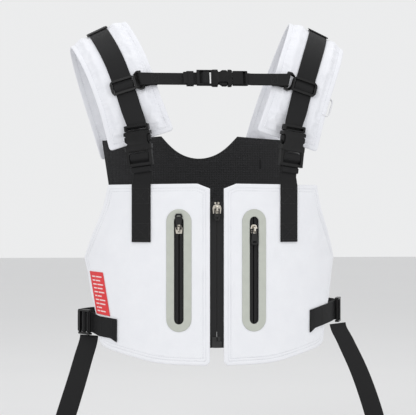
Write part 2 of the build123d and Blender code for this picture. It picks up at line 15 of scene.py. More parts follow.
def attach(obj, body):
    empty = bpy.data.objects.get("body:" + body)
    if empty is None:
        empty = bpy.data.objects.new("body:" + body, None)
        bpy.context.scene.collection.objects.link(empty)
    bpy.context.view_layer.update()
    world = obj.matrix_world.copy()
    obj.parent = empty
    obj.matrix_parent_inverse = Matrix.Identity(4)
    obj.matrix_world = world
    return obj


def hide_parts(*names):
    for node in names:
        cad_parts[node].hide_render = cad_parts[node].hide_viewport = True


MM = 0.001
SIDES = (("right", -1), ("left", 1))
BODY = "vest"

# ---- the sizes that part.py uses, in mm ----
CHEST_A, CHEST_B = 165.0, 118.0
PANEL_THICK = 1.8
WEB = 25.0
WEB_THICK = 1.6
SEWN = 1.15  # from a panel's face to the middle of a strap sewn to it
STERNUM_WEB = 16.0
POCKET_X, POCKET_Z = 46.3, 116.5
POCKET_SLOT = (132.0, 12.0)
POCKET_TAPE = (150.0, 31.0)
PAD_WIDTH, PAD_THICK, PAD_END = 78.0, 6.5, 0.985
PAD_FLARE, FLARE_END = 6.0, 0.12
PAD_GAP = 0.6
WEB_LOW = PAD_THICK + PAD_GAP + WEB_THICK / 2
SHOULDER = [
    (89.5, -87.6, 275.5),
    (98.5, -85, 304),
    (109, -78.5, 337),
    (120, -66.5, 368),
    (131, -42, 393.5),
    (139, -8, 410.5),
    (139.5, 26, 407.5),
    (132.5, 60, 383),
    (119, 87, 341),
    (105, 99.8, 297),
    (95, 103.2, 262),
]
SHOULDER_TURN = -14  # degrees that the strap turns for each 100 mm of depth
SHOULDER_TOP_START, SHOULDER_TOP_RUN, SHOULDER_DROP = 275, 127, -0.42  # how its width dips over the top
STERNUM_AT = 0.18
LOCK_Y, LOCK_Z = {-1: -42.0, 1: -24.0}, {-1: 50.0, 1: 62.5}
TAB_LINE = {-1: ((120.0, 43.0), (142.0, 46.0)), 1: ((120.0, 53.0), (142.0, 58.5))}
LOCK_OFFSET = 3.4
BUCKLE_OFFSET = 5.5
TAIL_ROUTES = {
    "right": [
        (153.5, -41.5, 33.2, 26.0),
        (153.7, -41.8, 27.0, 26.0),
        (160.0, -43.0, 8.0, 22.0),
        (168.0, -47.0, -20.0, 18.0),
        (177.5, -50.0, -50.0, 13.0),
        (187.0, -51.0, -80.0, 9.0),
        (195.0, -50.0, -110.0, 7.0),
        (200.0, -49.0, -138.0, 6.0),
    ],
    "left": [
        (163.5, -38.0, 45.6, 26.0),
        (163.9, -38.4, 40.0, 26.0),
        (171.0, -41.5, 27.0, 24.0),
        (176.0, -43.0, 16.0, 22.0),
        (188.0, -47.0, -10.0, 18.0),
        (199.0, -50.0, -40.0, 13.0),
        (210.0, -51.0, -75.0, 9.0),
        (217.0, -50.0, -108.0, 7.0),
        (221.0, -49.0, -138.0, 6.0),
    ],
}

# ---- sizes for the looks alone, in mm unless they say otherwise ----
CHEST_WEB_X, BACK_WEB_X = 91.25, 92.0
SEWN_TOP = 2.05  # from a panel's face to the stitches on a strap sewn to it
SEWN_BOW = 0.0058  # how much a sewn strap curves with the chest, in 1/mm
BOX_STITCH = 10.3  # half the width of a box stitch
BAG_DEPTH = -6.7  # from the panels' face to the middle of a pocket bag
PANEL_SEAMS, BACK_SEAM, PAD_SEAM = (5.2, 8.6), 7.2, 6.2  # stitched rows, from each piece's edge
SWELL_FRAMES = 18  # how long the cloth of a pad is left to settle

# ---- the camera: how far it stands off, round and up ----
VIEW_TURN = radians(5.7)
VIEW_BACK, VIEW_SIDE, VIEW_HEIGHT = 2117.4, 0.74, 193.4
LENS = 141.9

scene = bpy.context.scene
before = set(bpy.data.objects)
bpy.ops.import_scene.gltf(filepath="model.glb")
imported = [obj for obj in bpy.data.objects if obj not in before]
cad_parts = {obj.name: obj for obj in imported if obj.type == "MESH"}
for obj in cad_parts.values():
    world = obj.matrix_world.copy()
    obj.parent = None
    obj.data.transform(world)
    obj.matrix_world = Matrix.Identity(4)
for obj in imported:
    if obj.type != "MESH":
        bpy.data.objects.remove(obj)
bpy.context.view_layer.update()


def give(thing, **values):
    """Sets several properties of a Blender thing."""
    for key, value in values.items():
        setattr(thing, key, value)


# ---- camera ----
def make_camera():
    """A long lens, level with the middle of the chest and a little to the wearer's right of it."""
    data = bpy.data.cameras.new("camera")
    give(data, sensor_width=36.0, lens=LENS, clip_end=60.0)
    camera = bpy.data.objects.new("camera", data)
    right = Vector((cos(VIEW_TURN), -sin(VIEW_TURN), 0))
    ahead = Vector((sin(VIEW_TURN), cos(VIEW_TURN), 0))
    camera.location = (right * VIEW_SIDE - ahead * VIEW_BACK + Vector((0, 0, VIEW_HEIGHT))) * MM
    camera.rotation_euler = (pi / 2, 0, -VIEW_TURN)
    scene.collection.objects.link(camera)
    scene.camera = camera


# ---- small mathematics ----
def unit(v):
    """Rows of v at length 1."""
    v = np.asarray(v, float)
    return v / np.maximum(np.linalg.norm(v, axis=-1, keepdims=True), 1e-12)


def ease(x, low, high):
    """0 below low, 1 above high, and smooth between them."""
    t = np.clip((np.asarray(x, float) - low) / (high - low), 0, 1)
    return t * t * (3 - 2 * t)


def lengths(points):
    """Distance along a row of points, from its first."""
    return np.concatenate([[0], np.cumsum(np.linalg.norm(np.diff(points, axis=0), axis=1))])


def evenly(points, step):
    """The same line as points that are about step apart, ends kept."""
    p = np.asarray(points, float)
    s = lengths(p)
    return sample(np.linspace(0, s[-1], max(2, int(round(s[-1] / step)) + 1)), s, p)


def sample(at, s, rows):
    """Rows of values read at lengths along a line whose points are at lengths s."""
    return np.stack([np.interp(at, s, rows[:, k]) for k in range(rows.shape[1])], axis=1)


def squared(across, tangent):
    """The across directions, made square to the tangents."""
    return unit(across - tangent * np.sum(across * tangent, axis=1, keepdims=True))


def tangents(line):
    """Directions along a line of points."""
    return unit(np.gradient(line, axis=0))


def smooth_curve(points, count=1200):
    """Points along a smooth curve through the given ones, evenly spaced by length."""
    p = np.asarray(points, float)
    s = lengths(p)
    h = np.diff(s)
    n = len(p)
    a = np.eye(n)
    r = np.zeros((n, p.shape[1]))
    for i in range(1, n - 1):
        a[i, i - 1 : i + 2] = h[i - 1], 2 * (h[i - 1] + h[i]), h[i]
        r[i] = 6 * ((p[i + 1] - p[i]) / h[i] - (p[i] - p[i - 1]) / h[i - 1])
    m = np.linalg.solve(a, r)
    at = np.linspace(0, s[-1], count)
    k = np.clip(np.searchsorted(s, at, side="right") - 1, 0, n - 2)
    x, hk = (at - s[k])[:, None], h[k][:, None]
    slope = (p[k + 1] - p[k]) / hk - hk * (2 * m[k] + m[k + 1]) / 6
    q = p[k] + slope * x + m[k] * x**2 / 2 + (m[k + 1] - m[k]) * x**3 / (6 * hk)
    return evenly(q, lengths(q)[-1] / (count - 1))


def rounded_path(points, radius):
    """A line through the points with each corner rounded, as points 0.6 apart."""
    p = np.asarray(points, float)
    out = [p[0]]
    for a, b, c in zip(p[:-2], p[1:-1], p[2:]):
        ta, tc = unit(a - b), unit(c - b)
        cut = min(radius, np.linalg.norm(a - b) * 0.49, np.linalg.norm(c - b) * 0.49)
        for f in np.linspace(0, 1, 7):
            one, two = b + ta * cut * (1 - f), b + tc * cut * f
            out.append(one * (1 - f) + two * f)
    out.append(p[-1])
    return evenly(out, 0.6)


def noise_at(points, size, seed=0.0):
    """Smooth noise from -1 to 1 at rows of points, with features of a given size."""
    shift = Vector((seed * 7.3, seed * 3.1, seed * 5.7))
    return np.array([noise.noise(Vector(p) / size + shift) for p in points])


# ---- the shapes that the vest hangs on ----
def chest(x, z, offset=0.0, way=-1):
    """Points and outward normals on the chest ellipse at x, or on the back of it with way 1."""
    x, z = np.broadcast_arrays(np.asarray(x, float), np.asarray(z, float))
    y = way * CHEST_B * np.sqrt(np.clip(1 - (x / CHEST_A) ** 2, 1e-6, 1))
    normal = unit(np.stack([x / CHEST_A**2, y / CHEST_B**2, np.zeros_like(x)], axis=-1))
    point = np.stack([x, y, z], axis=-1)
    return point + normal * np.asarray(offset, float)[..., None], normal


def on_shell(way=-1):
    """Puts points, given as x and z, at heights over the chest, or over the back with way 1."""
    return lambda points, height: chest(points[:, 0], points[:, 1], height, way)[0]


def on_cloth(arc_middle=0.0):
    """Puts points of flat cloth at heights over the chest, from an arc length that is their middle."""
    return lambda points, height: chest(x_of(arc_middle + points[:, 0]), points[:, 1], height)[0]


def round_shell(normal, rise=0.0):
    """Directions round the shell, square to its normals, and level but for a rise."""
    return np.stack([-normal[:, 1], normal[:, 0], np.full(len(normal), rise)], axis=1)


def on_sewn_web(x, way=-1):
    """Takes distances across and up a strap sewn to the shell to points and normals on its face."""
    return lambda u, v: chest(x_of(arc_of(x) + u), v, SEWN_TOP, way)


ARC_X = np.linspace(-CHEST_A + 0.5, CHEST_A - 0.5, 3000)
ARC_S = lengths(np.stack([ARC_X, CHEST_B * np.sqrt(1 - (ARC_X / CHEST_A) ** 2)], axis=1))
ARC_S = ARC_S - np.interp(0, ARC_X, ARC_S)


def arc_of(x):
    """Length round the ellipse from the middle of the chest to x."""
    return np.interp(x, ARC_X, ARC_S)


def x_of(arc):
    """The x at a length round the ellipse."""
    return np.interp(arc, ARC_S, ARC_X)


SHOULDER_CURVE = smooth_curve(SHOULDER)
SHOULDER_SHARE = np.linspace(0, 1, len(SHOULDER_CURVE))
SHOULDER_TANGENT = tangents(SHOULDER_CURVE)
SHOULDER_LENGTH = lengths(SHOULDER_CURVE)[-1]


def shoulder(side, t):
    """Points, tangents, across and outward directions of one shoulder line at shares t of its length."""
    t = np.atleast_1d(np.asarray(t, float))
    inside = np.clip(t, 0, 1)
    point = sample(inside, SHOULDER_SHARE, SHOULDER_CURVE)
    tangent = unit(sample(inside, SHOULDER_SHARE, SHOULDER_TANGENT))
    point = point + tangent * ((t - inside) * SHOULDER_LENGTH)[:, None]
    turn = np.radians(SHOULDER_TURN * point[:, 1] / 100)
    rise = np.maximum(0, (point[:, 2] - SHOULDER_TOP_START) / SHOULDER_TOP_RUN)
    across = np.stack([np.cos(turn), np.sin(turn), SHOULDER_DROP * rise**2], axis=1)
    across = squared(across, tangent)
    normal = unit(np.cross(tangent, -across))
    mirror = np.array([side, 1, 1])
    return point * mirror, tangent * mirror, across * mirror, normal * mirror


class Flat:
    """A plane with its x across a strap, its y along it and its z outwards."""

    def __init__(self, origin, x_dir, z_dir):
        self.origin = np.asarray(origin, float)
        self.z = unit(z_dir)
        self.x = unit(np.asarray(x_dir, float) - self.z * np.dot(x_dir, self.z))
        self.y = np.cross(self.z, self.x)

    def at(self, u, v, w):
        """Points at u across, v along and w outwards."""
        u, v, w = (np.asarray(a, float)[..., None] for a in np.broadcast_arrays(u, v, w))
        return self.origin + self.x * u + self.y * v + self.z * w


def on_chest(side, x, offset, height, lean=0.0):
    """A plane that lies on the chest, leaning outwards by lean degrees."""
    point, normal = chest(side * x, height, offset)
    across = np.array([-normal[1], normal[0], 0])
    tilt = side * radians(lean)
    return Flat(point, across * cos(tilt) - np.array([0, 0, 1]) * sin(tilt), normal)


def on_strap(side, t, height, lean=0.0):
    """A plane on a shoulder strap's face at t."""
    point, tangent, across, normal = (a[0] for a in shoulder(side, t))
    turn = side * radians(lean)
    return Flat(point + normal * height, across * (side * cos(turn)) + tangent * sin(turn), normal)


# ---- meshes ----
def make_mesh(name, verts, faces, weave=None, smooth=True):
    """A mesh object in metres, with where each point is in the cloth, in mm, as an attribute."""
    mesh = bpy.data.meshes.new(name)
    mesh.from_pydata((np.asarray(verts, float) * MM).tolist(), [], [tuple(int(i) for i in f) for f in faces])
    mesh.validate()
    if smooth:
        mesh.shade_smooth()
    if weave is not None:
        attribute = mesh.attributes.new("weave", "FLOAT_VECTOR", "POINT")
        attribute.data.foreach_set("vector", np.asarray(weave, np.float32).ravel())
    obj = bpy.data.objects.new(name, mesh)
    scene.collection.objects.link(obj)
    return obj


def finish_piece(obj, material, nodes=()):
    """Gives a piece its material, hides the CAD nodes that it stands for, and lets it ride on the vest's
    body.
    """
    obj.data.materials.append(material)
    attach(obj, BODY)
    if nodes:
        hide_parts(*nodes)
    return obj


PROFILE_U = np.array([-1, -0.985, -0.94, -0.86, -0.5, 0, 0.5, 0.86, 0.94, 0.985, 1])
PROFILE_H = np.array([0, 0.62, 0.98, 0.9, 0.97, 1, 0.97, 0.9, 0.98, 0.62, 0])


def ribbon(name, mid, across, normal, width=WEB, thick=WEB_THICK, bow=0.0, shift=None):
    """A woven strap swept along middle points. bow is the curvature across it; shift moves its edges."""
    mid, across, normal = (np.asarray(a, float) for a in (mid, across, normal))
    rows = len(mid)
    across, normal = np.broadcast_to(across, (rows, 3)), np.broadcast_to(normal, (rows, 3))
    bow = np.broadcast_to(np.asarray(bow, float), (rows,))
    s = lengths(mid)
    u = np.concatenate([PROFILE_U, PROFILE_U[-2:0:-1]])
    h = np.concatenate([PROFILE_H, -PROFILE_H[-2:0:-1]])
    count = len(u)
    uu = np.broadcast_to(u * width / 2, (rows, count)).copy()
    if shift is not None:
        uu += shift(uu, s[:, None])
    hh = h[None, :] * thick / 2 - bow[:, None] * uu**2 / 2
    verts = mid[:, None] + across[:, None] * uu[..., None] + normal[:, None] * hh[..., None]
    weave = np.stack([uu, np.broadcast_to(s[:, None], uu.shape), np.zeros_like(uu)], axis=-1)
    i = np.arange(rows - 1)[:, None] * count
    j = np.arange(count)[None, :]
    k = (j + 1) % count
    quads = np.stack([i + j, i + k, i + count + k, i + count + j], axis=-1).reshape(-1, 4)
    turned = np.dot(np.cross(across[0], normal[0]), mid[1] - mid[0]) < 0
    faces = [q[::-1] for q in quads] if turned else list(quads)
    first, last = np.arange(count), np.arange(count) + (rows - 1) * count
    faces += [first, last[::-1]] if turned else [first[::-1], last]
    return make_mesh(name, verts.reshape(-1, 3), faces, weave.reshape(-1, 3))


STITCH_RINGS = ((-0.5, 0.3), (-0.3, 1.0), (0.3, 1.0), (0.5, 0.3))


def grains(name, points, along, normals, length, radius, flat=0.7):
    """Many small rounded grains in one mesh, such as stitches or zip teeth."""
    p, d, n = (np.asarray(a, float) for a in (points, along, normals))
    side = unit(np.cross(n, d))
    n = unit(np.cross(d, side))
    corners, faces = [], []
    sides = 6
    for share, swell in STITCH_RINGS:
        for k in range(sides):
            angle = 2 * pi * k / sides
            corners.append((share * length, swell * radius * cos(angle), swell * radius * flat * sin(angle)))
    for ring in range(len(STITCH_RINGS) - 1):
        for k in range(sides):
            a, b = ring * sides + k, ring * sides + (k + 1) % sides
            faces.append((a, b, b + sides, a + sides))
    faces += [tuple(range(sides))[::-1], tuple(range(len(corners) - sides, len(corners)))]
    c = np.array(corners)
    verts = (
        p[:, None]
        + unit(d)[:, None] * c[None, :, 0:1]
        + side[:, None] * c[None, :, 1:2]
        + n[:, None] * c[None, :, 2:3]
    )
    every = [tuple(i + m * len(c) for i in f) for m in range(len(p)) for f in faces]
    return make_mesh(name, verts.reshape(-1, 3), every, weave=verts.reshape(-1, 3))


def stitches(line, normals, pitch=3.0):
    """A row of stitches on a line of close points: where each is, its direction and its outward normal."""
    line, normals = np.asarray(line, float), np.asarray(normals, float)
    s = lengths(line)
    at = np.arange(pitch / 2, s[-1], pitch)
    along = sample(at + 0.3, s, line) - sample(at - 0.3, s, line)
    return sample(at, s, line), unit(along + 1e-9), unit(sample(at, s, normals))


def stitch_mesh(name, rows, thread, radius, length):
    """One piece of thread from several rows of stitches."""
    spots, along, outward = (np.concatenate([r[k] for r in rows]) for k in range(3))
    return finish_piece(grains(name, spots, along, outward, length, radius), thread)


def black_stitches(name, rows, radius=0.32, length=1.7):
    """A piece of black thread."""
    return stitch_mesh(name, rows, BLACK_THREAD, radius, length)


def black_strap(obj, node):
    """Finishes a strap of black webbing that stands for a CAD node."""
    return finish_piece(obj, BLACK_WEB, [node])


# ---- flat shapes filled with triangles ----
def edge_distance(points, loops):
    """Distance from each point to the nearest edge of the closed loops."""
    best = np.full(len(points), 1e9)
    for loop in loops:
        a, b = loop, np.roll(loop, -1, axis=0)
        for start in range(0, len(points), 4000):
            p = points[start : start + 4000, None]
            ab = (b - a)[None]
            f = np.clip(np.sum((p - a[None]) * ab, axis=2) / np.sum(ab**2, axis=2), 0, 1)
            d = np.linalg.norm(p - (a[None] + ab * f[..., None]), axis=2).min(axis=1)
            best[start : start + 4000] = np.minimum(best[start : start + 4000], d)
    return best


def within(points, loop):
    """Which points are inside a closed loop."""
    x, y = points[:, 0:1], points[:, 1:2]
    x1, y1 = loop[:, 0], loop[:, 1]
    x2, y2 = np.roll(x1, -1), np.roll(y1, -1)
    crosses = (y1 > y) != (y2 > y)
    at = (x2 - x1) * (y - y1) / np.where(y2 == y1, 1e-9, y2 - y1) + x1
    return np.sum(crosses & (x < at), axis=1) % 2 == 1


def inward_rows(loop, distances, sign):
    """Points in rows at the given distances from a loop, on its inner side (sign 1) or its outer one."""
    ahead = np.roll(loop, -1, axis=0) - np.roll(loop, 1, axis=0)
    normal = unit(np.stack([-ahead[:, 1], ahead[:, 0]], axis=1))
    area = np.sum(loop[:, 0] * np.roll(loop[:, 1], -1) - np.roll(loop[:, 0], -1) * loop[:, 1])
    normal = normal * (sign if area > 0 else -sign)
    return [loop + normal * d for d in distances]


def fill(outline, holes=(), rows=(), step=2.0):
    """Triangles that fill an outline, as (points, triangles, distance to the edge, which are on the edge)."""
    loops = [outline, *holes]
    edge = np.concatenate(loops)
    extra = [edge]
    for n, loop in enumerate(loops):
        extra += inward_rows(loop, rows, 1 if n == 0 else -1)
    low, high = outline.min(axis=0), outline.max(axis=0)
    gx = np.arange(low[0], high[0] + step, step)
    gy = np.arange(low[1], high[1] + step, step * 0.866)
    grid = np.stack(np.meshgrid(gx, gy), axis=-1)
    grid[1::2, :, 0] += step / 2
    grid = grid.reshape(-1, 2)
    inner = np.concatenate(extra[1:] + [grid])
    d = edge_distance(inner, loops)
    ok = within(inner, outline)
    for hole in holes:
        ok &= ~within(inner, hole)
    count = len(inner) - len(grid)
    row_of = np.concatenate([np.full(len(loop), r) for loop in loops for r in rows] or [np.zeros(0)])
    ok[:count] &= d[:count] > row_of - 0.03
    for r in [0, *rows]:
        ok[count:] &= np.abs(d[count:] - r) > step * 0.42
    points = np.concatenate([edge, inner[ok]])
    links, start = [], 0
    for loop in loops:
        links += [(start + i, start + (i + 1) % len(loop)) for i in range(len(loop))]
        start += len(loop)
    made = delaunay_2d_cdt([Vector(p) for p in points], links, [], 0, 1e-6)
    p = np.array([tuple(v) for v in made[0]])
    t = np.array([f for f in made[2] if len(f) == 3])
    middle = p[t].mean(axis=1)
    keep = within(middle, outline)
    for hole in holes:
        keep &= ~within(middle, hole)
    t = t[keep]
    e1, e2 = p[t[:, 1]] - p[t[:, 0]], p[t[:, 2]] - p[t[:, 0]]
    turned = e1[:, 0] * e2[:, 1] - e1[:, 1] * e2[:, 0] < 0
    t[turned] = t[turned][:, ::-1]
    used = np.unique(t)
    index = np.full(len(p), -1)
    index[used] = np.arange(len(used))
    p, t = p[used], index[t]
    d = edge_distance(p, loops)
    return p, t, d, d < 1e-3


def closed_sheet(name, shape, place, front, back, weave_of=None):
    """A thin closed solid from a filled shape: place(points, height) puts its two faces in space."""
    p, t, _, on_edge = shape
    top = place(p, front)
    below = place(p[~on_edge], back[~on_edge])
    index = np.arange(len(p))
    index[~on_edge] = len(p) + np.arange(int((~on_edge).sum()))
    faces = np.concatenate([t, index[t][:, ::-1]])
    verts = np.concatenate([top, below])
    flat = np.concatenate([p, p[~on_edge]])
    if weave_of is not None:
        flat = weave_of(flat)
    weave = np.concatenate([flat, np.zeros((len(flat), 1))], axis=1)
    a, b, c = verts[faces[0][0]], verts[faces[0][1]], verts[faces[0][2]]
    out = place(p[faces[0][:1]], front[faces[0][:1]] + 1.0)[0] - a
    if np.dot(np.cross(b - a, c - a), out) < 0:
        faces = faces[:, ::-1]
    return make_mesh(name, verts, faces, weave)


def rim(d, radius=0.9):
    """1 well inside an edge and 0 on it, round between them."""
    return np.sqrt(1 - (1 - np.clip(d / radius, 0, 1)) ** 2)


def faces_of(middle, half, d, radius=0.9):
    """The front and back heights of a sheet that is round at its edges."""
    return middle + half * rim(d, radius), middle - half * rim(d, radius)


def seam_line(outline, distance, slack):
    """A closed line at a distance inside an outline, without the points that its corners bring nearer."""
    line = inward_rows(outline, [distance], 1)[0]
    line = line[edge_distance(line, [outline]) > distance - slack]
    return np.concatenate([line, line[:1]])


def dip(d, at, half):
    """1 at a distance from the edge, falling to 0 within half of it."""
    return 1 - ease(np.abs(d - at), 0, half)


def joined(*lines, step=1.6):
    """A closed loop from lines that follow on from each other, with their corners kept."""
    return np.concatenate([evenly(line, step)[:-1] for line in lines])


def legs(corners):
    """The straight lines from each corner to the next."""
    return [corners[i : i + 2] for i in range(len(corners) - 1)]


def obround(length, width, step=1.6):
    """A closed loop of a tall obround about the origin."""
    r, half = width / 2, (length - width) / 2
    angles = np.linspace(0, pi, max(6, int(pi * r / step)))
    top = np.stack([r * np.cos(angles), half + r * np.sin(angles)], axis=1)
    ends = np.concatenate([top, -top, top[:1]])
    return evenly(ends, step)[:-1]


# ---- materials ----
class Shader:
    """A Principled material with short calls for its nodes."""

    def __init__(self, name, colour, rough, **values):
        self.material = bpy.data.materials.new(name)
        self.material.use_nodes = True
        self.tree = self.material.node_tree
        self.out = self.tree.nodes["Principled BSDF"]
        self.out.inputs["Base Color"].default_value = (*colour, 1)
        self.out.inputs["Roughness"].default_value = rough
        self.material.diffuse_color = (*colour, 1)
        for key, value in values.items():
            self.out.inputs[key.replace("_", " ")].default_value = value

    def node(self, kind, settings=None, **inputs):
        """Adds a node; inputs are values, or sockets to link."""
        made = self.tree.nodes.new(kind)
        give(made, **(settings or {}))
        for key, value in inputs.items():
            socket = made.inputs[int(key[1:])] if key[0] == "i" and key[1:].isdigit() else made.inputs[key]
            if isinstance(value, bpy.types.NodeSocket):
                self.tree.links.new(value, socket)
            else:
                socket.default_value = value
        return made

    def math(self, kind, a, b=0.0):
        """One Math node."""
        return self.node("ShaderNodeMath", {"operation": kind}, i0=a, i1=b).outputs[0]

    def blend(self, *parts):
        """The sum of some values, each times its share."""
        first, *others = (self.math("MULTIPLY", value, share) for value, share in parts)
        for other in others:
            first = self.math("ADD", first, other)
        return first

    def cloth(self):
        """Where a point is in the cloth, in mm."""
        return self.node("ShaderNodeAttribute", {"attribute_name": "weave"}).outputs["Vector"]

    def space(self):
        """Where a point is in the object's frame, in mm."""
        where = self.node("ShaderNodeTexCoord").outputs["Object"]
        return self.node("ShaderNodeVectorMath", {"operation": "SCALE"}, i0=where, Scale=1 / MM).outputs[0]

    def noise(self, where, size, detail=3.0):
        """Noise from 0 to 1 with features of a size in mm."""
        return self.node("ShaderNodeTexNoise", Vector=where, Scale=1 / size, Detail=detail).outputs[0]

    def waves(self, where, pitch, direction="X", distortion=0.0):
        """Bands from 0 to 1 at a pitch in mm."""
        settings = {"wave_type": "BANDS", "bands_direction": direction}
        inputs = {"Vector": where, "Scale": pi / 10 / pitch, "Distortion": distortion}
        return self.node("ShaderNodeTexWave", settings, **inputs).outputs[1]

    def spread(self, value, low, high):
        """A 0 to 1 value taken to low to high."""
        return self.node("ShaderNodeMapRange", i0=value, i3=low, i4=high).outputs[0]

    def tint(self, value, dark, light):
        """The base colour runs from dark to light with a value."""
        ramp = self.node("ShaderNodeValToRGB", Fac=value)
        ramp.color_ramp.elements[0].color = (*dark, 1)
        ramp.color_ramp.elements[1].color = (*light, 1)
        self.tree.links.new(ramp.outputs[0], self.out.inputs["Base Color"])

    def rough(self, value, low, high):
        """Roughness runs from low to high with a value."""
        self.tree.links.new(self.spread(value, low, high), self.out.inputs["Roughness"])

    def bump(self, height, depth, strength=1.0):
        """Surface relief from a 0 to 1 height, depth in mm; a second call adds to the first."""
        made = self.node("ShaderNodeBump", Height=height, Distance=depth * MM, Strength=strength)
        before = self.out.inputs["Normal"].links
        if before:
            self.tree.links.new(before[0].from_socket, made.inputs["Normal"])
        self.tree.links.new(made.outputs[0], self.out.inputs["Normal"])


def plain_weave(name, dark, light, pitch, depth, rough=(0.7, 0.85), sheen=0.25, creases=0.6):
    """A plain woven cloth: threads both ways, faint slubs and soft creases."""
    s = Shader(name, light, rough[0], Sheen_Weight=sheen, Sheen_Roughness=0.5, Specular_IOR_Level=0.3)
    where = s.cloth()
    threads = s.math("MULTIPLY", s.waves(where, pitch, "X", 0.3), s.waves(where, pitch, "Y", 0.3))
    slubs = s.noise(where, 1.4)
    broad = s.noise(where, 24.0)
    s.tint(s.blend((threads, 0.35), (broad, 0.45), (slubs, 0.2)), dark, light)
    s.rough(slubs, *rough)
    s.bump(s.noise(s.space(), 9.0, 4.0), creases, 0.35)
    s.bump(threads, depth, 0.5)
    return s.material


def webbing(name, dark, light, pitch=1.15, depth=0.22):
    """Ribbed narrow weave: cross ribs broken by long threads, with a dull sheen on the ribs."""
    s = Shader(name, light, 0.6, Sheen_Weight=0.03, Sheen_Roughness=0.4, Specular_IOR_Level=0.22)
    where = s.cloth()
    ribs = s.waves(where, pitch, "Y", 0.5)
    threads = s.waves(where, pitch * 0.8, "X", 0.2)
    both = s.blend((ribs, 0.65), (threads, 0.35))
    fuzz = s.noise(where, 0.8, 4.0)
    s.tint(s.blend((both, 0.6), (fuzz, 0.4)), dark, light)
    s.rough(fuzz, 0.5, 0.72)
    s.bump(both, depth, 0.7)
    s.bump(fuzz, 0.08, 0.4)
    return s.material


def moulded(name, dark, light, rough=(0.28, 0.42), grain=0.35, depth=0.02):
    """Injection moulded plastic: fine grain, soft gloss, and convex edges painted lighter as a painted
    highlight.
    """
    s = Shader(name, light, rough[0], Specular_IOR_Level=0.2)
    where = s.space()
    fine = s.noise(where, grain)
    broad = s.noise(where, 6.0)
    # convex edges are painted lighter from pointiness: a painted highlight along the edges, over a broad tone
    # that varies at random
    edges = s.node("ShaderNodeNewGeometry").outputs["Pointiness"]
    edge_highlight = s.node("ShaderNodeMapRange", i0=edges, i1=0.5, i2=0.62, i3=0.0, i4=0.35).outputs[0]
    s.tint(s.math("ADD", s.math("MULTIPLY", broad, 0.5), edge_highlight), dark, light)
    s.rough(broad, *rough)
    s.bump(fine, depth, 0.4)
    return s.material


def brushed_metal():
    """The sliders' pale nickel with fine scratches and a broad tone that varies at random."""
    s = Shader("slider_metal", (0.62, 0.58, 0.5), 0.25, Metallic=1.0)
    where = s.space()
    scratches = s.noise(where, 0.25, 5.0)
    broad = s.noise(where, 3.0)
    s.tint(broad, (0.42, 0.37, 0.3), (0.82, 0.79, 0.72))
    s.rough(scratches, 0.18, 0.4)
    s.bump(scratches, 0.015, 0.5)
    return s.material


def knit_mesh():
    """Black spacer mesh: small round holes in rows over a duller ground."""
    s = Shader("black_mesh", (0.02, 0.02, 0.022), 0.75, Sheen_Weight=0.2, Specular_IOR_Level=0.25)
    where = s.cloth()
    cells = s.node("ShaderNodeTexVoronoi", {"feature": "F1"}, Vector=where, Scale=0.42, Randomness=0.12)
    holes = s.node("ShaderNodeMapRange", i0=cells.outputs["Distance"], i1=0.15, i2=0.45).outputs[0]
    fuzz = s.noise(where, 0.5, 4.0)
    ground = s.math("MULTIPLY", holes, s.spread(fuzz, 0.6, 1.0))
    s.tint(ground, (0.002, 0.002, 0.002), (0.03, 0.03, 0.032))
    s.rough(fuzz, 0.65, 0.85)
    s.bump(holes, 0.5, 0.8)
    return s.material


def welded_tape():
    """Grey-green film welded round the pockets, with a faint pressed grid."""
    gloss = {"Specular_IOR_Level": 0.45, "Coat_Weight": 0.12, "Coat_Roughness": 0.3}
    s = Shader("weld_tape", (0.52, 0.54, 0.48), 0.42, **gloss)
    where = s.cloth()
    grid = s.math("MULTIPLY", s.waves(where, 0.9, "X"), s.waves(where, 0.9, "Y"))
    broad = s.noise(where, 9.0)
    s.tint(s.blend((grid, 0.25), (broad, 0.6)), (0.45, 0.47, 0.42), (0.58, 0.6, 0.54))
    s.rough(broad, 0.36, 0.52)
    s.bump(grid, 0.05, 0.5)
    s.bump(broad, 0.3, 0.2)
    return s.material


def floor_paint():
    """A plain pale studio floor."""
    s = Shader("studio_floor", (0.74, 0.74, 0.74), 0.7)
    where = s.space()
    broad = s.noise(where, 300.0)
    s.tint(broad, (0.72, 0.72, 0.725), (0.75, 0.75, 0.75))
    s.rough(broad, 0.6, 0.75)
    return s.material


WHITE = plain_weave("white_fabric", (0.78, 0.79, 0.83), (0.93, 0.935, 0.955), 0.62, 0.12)
WHITE_PAD = plain_weave("white_pad_fabric", (0.74, 0.75, 0.8), (0.92, 0.925, 0.95), 0.62, 0.12, creases=1.0)
WHITE_THREAD = plain_weave("white_thread", (0.6, 0.61, 0.65), (0.82, 0.83, 0.86), 0.4, 0.05)
BLACK_WEB = webbing("black_webbing", (0.003, 0.003, 0.0032), (0.014, 0.014, 0.015))
BLACK_THREAD = webbing("black_thread", (0.01, 0.01, 0.01), (0.05, 0.05, 0.052), 0.4, 0.05)
BLACK_MESH = knit_mesh()
PLASTIC = moulded("black_plastic", (0.003, 0.003, 0.0032), (0.017, 0.017, 0.0175))
GREY_PLASTIC = moulded("grey_plastic", (0.018, 0.018, 0.018), (0.05, 0.05, 0.05), (0.3, 0.45))
RUBBER = moulded("puller_rubber", (0.008, 0.008, 0.008), (0.03, 0.03, 0.03), (0.45, 0.6), 0.5, 0.05)
METAL = brushed_metal()
WELD = welded_tape()
ZIP_TAPE = webbing("zip_tape", (0.006, 0.006, 0.006), (0.022, 0.022, 0.023), 0.7, 0.08)
ZIP_TEETH = moulded("zip_teeth", (0.01, 0.01, 0.01), (0.05, 0.05, 0.05), (0.3, 0.4))
LABEL = plain_weave("red_label", (0.62, 0.03, 0.035), (0.86, 0.07, 0.075), 0.5, 0.04, (0.45, 0.6), 0.1, 0.1)
LABEL_PRINT = plain_weave("label_print", (0.8, 0.6, 0.6), (0.95, 0.82, 0.82), 0.5, 0.02, (0.5, 0.6), 0.0, 0.1)
ELASTIC = webbing("white_elastic", (0.6, 0.6, 0.62), (0.86, 0.86, 0.88), 0.8, 0.1)


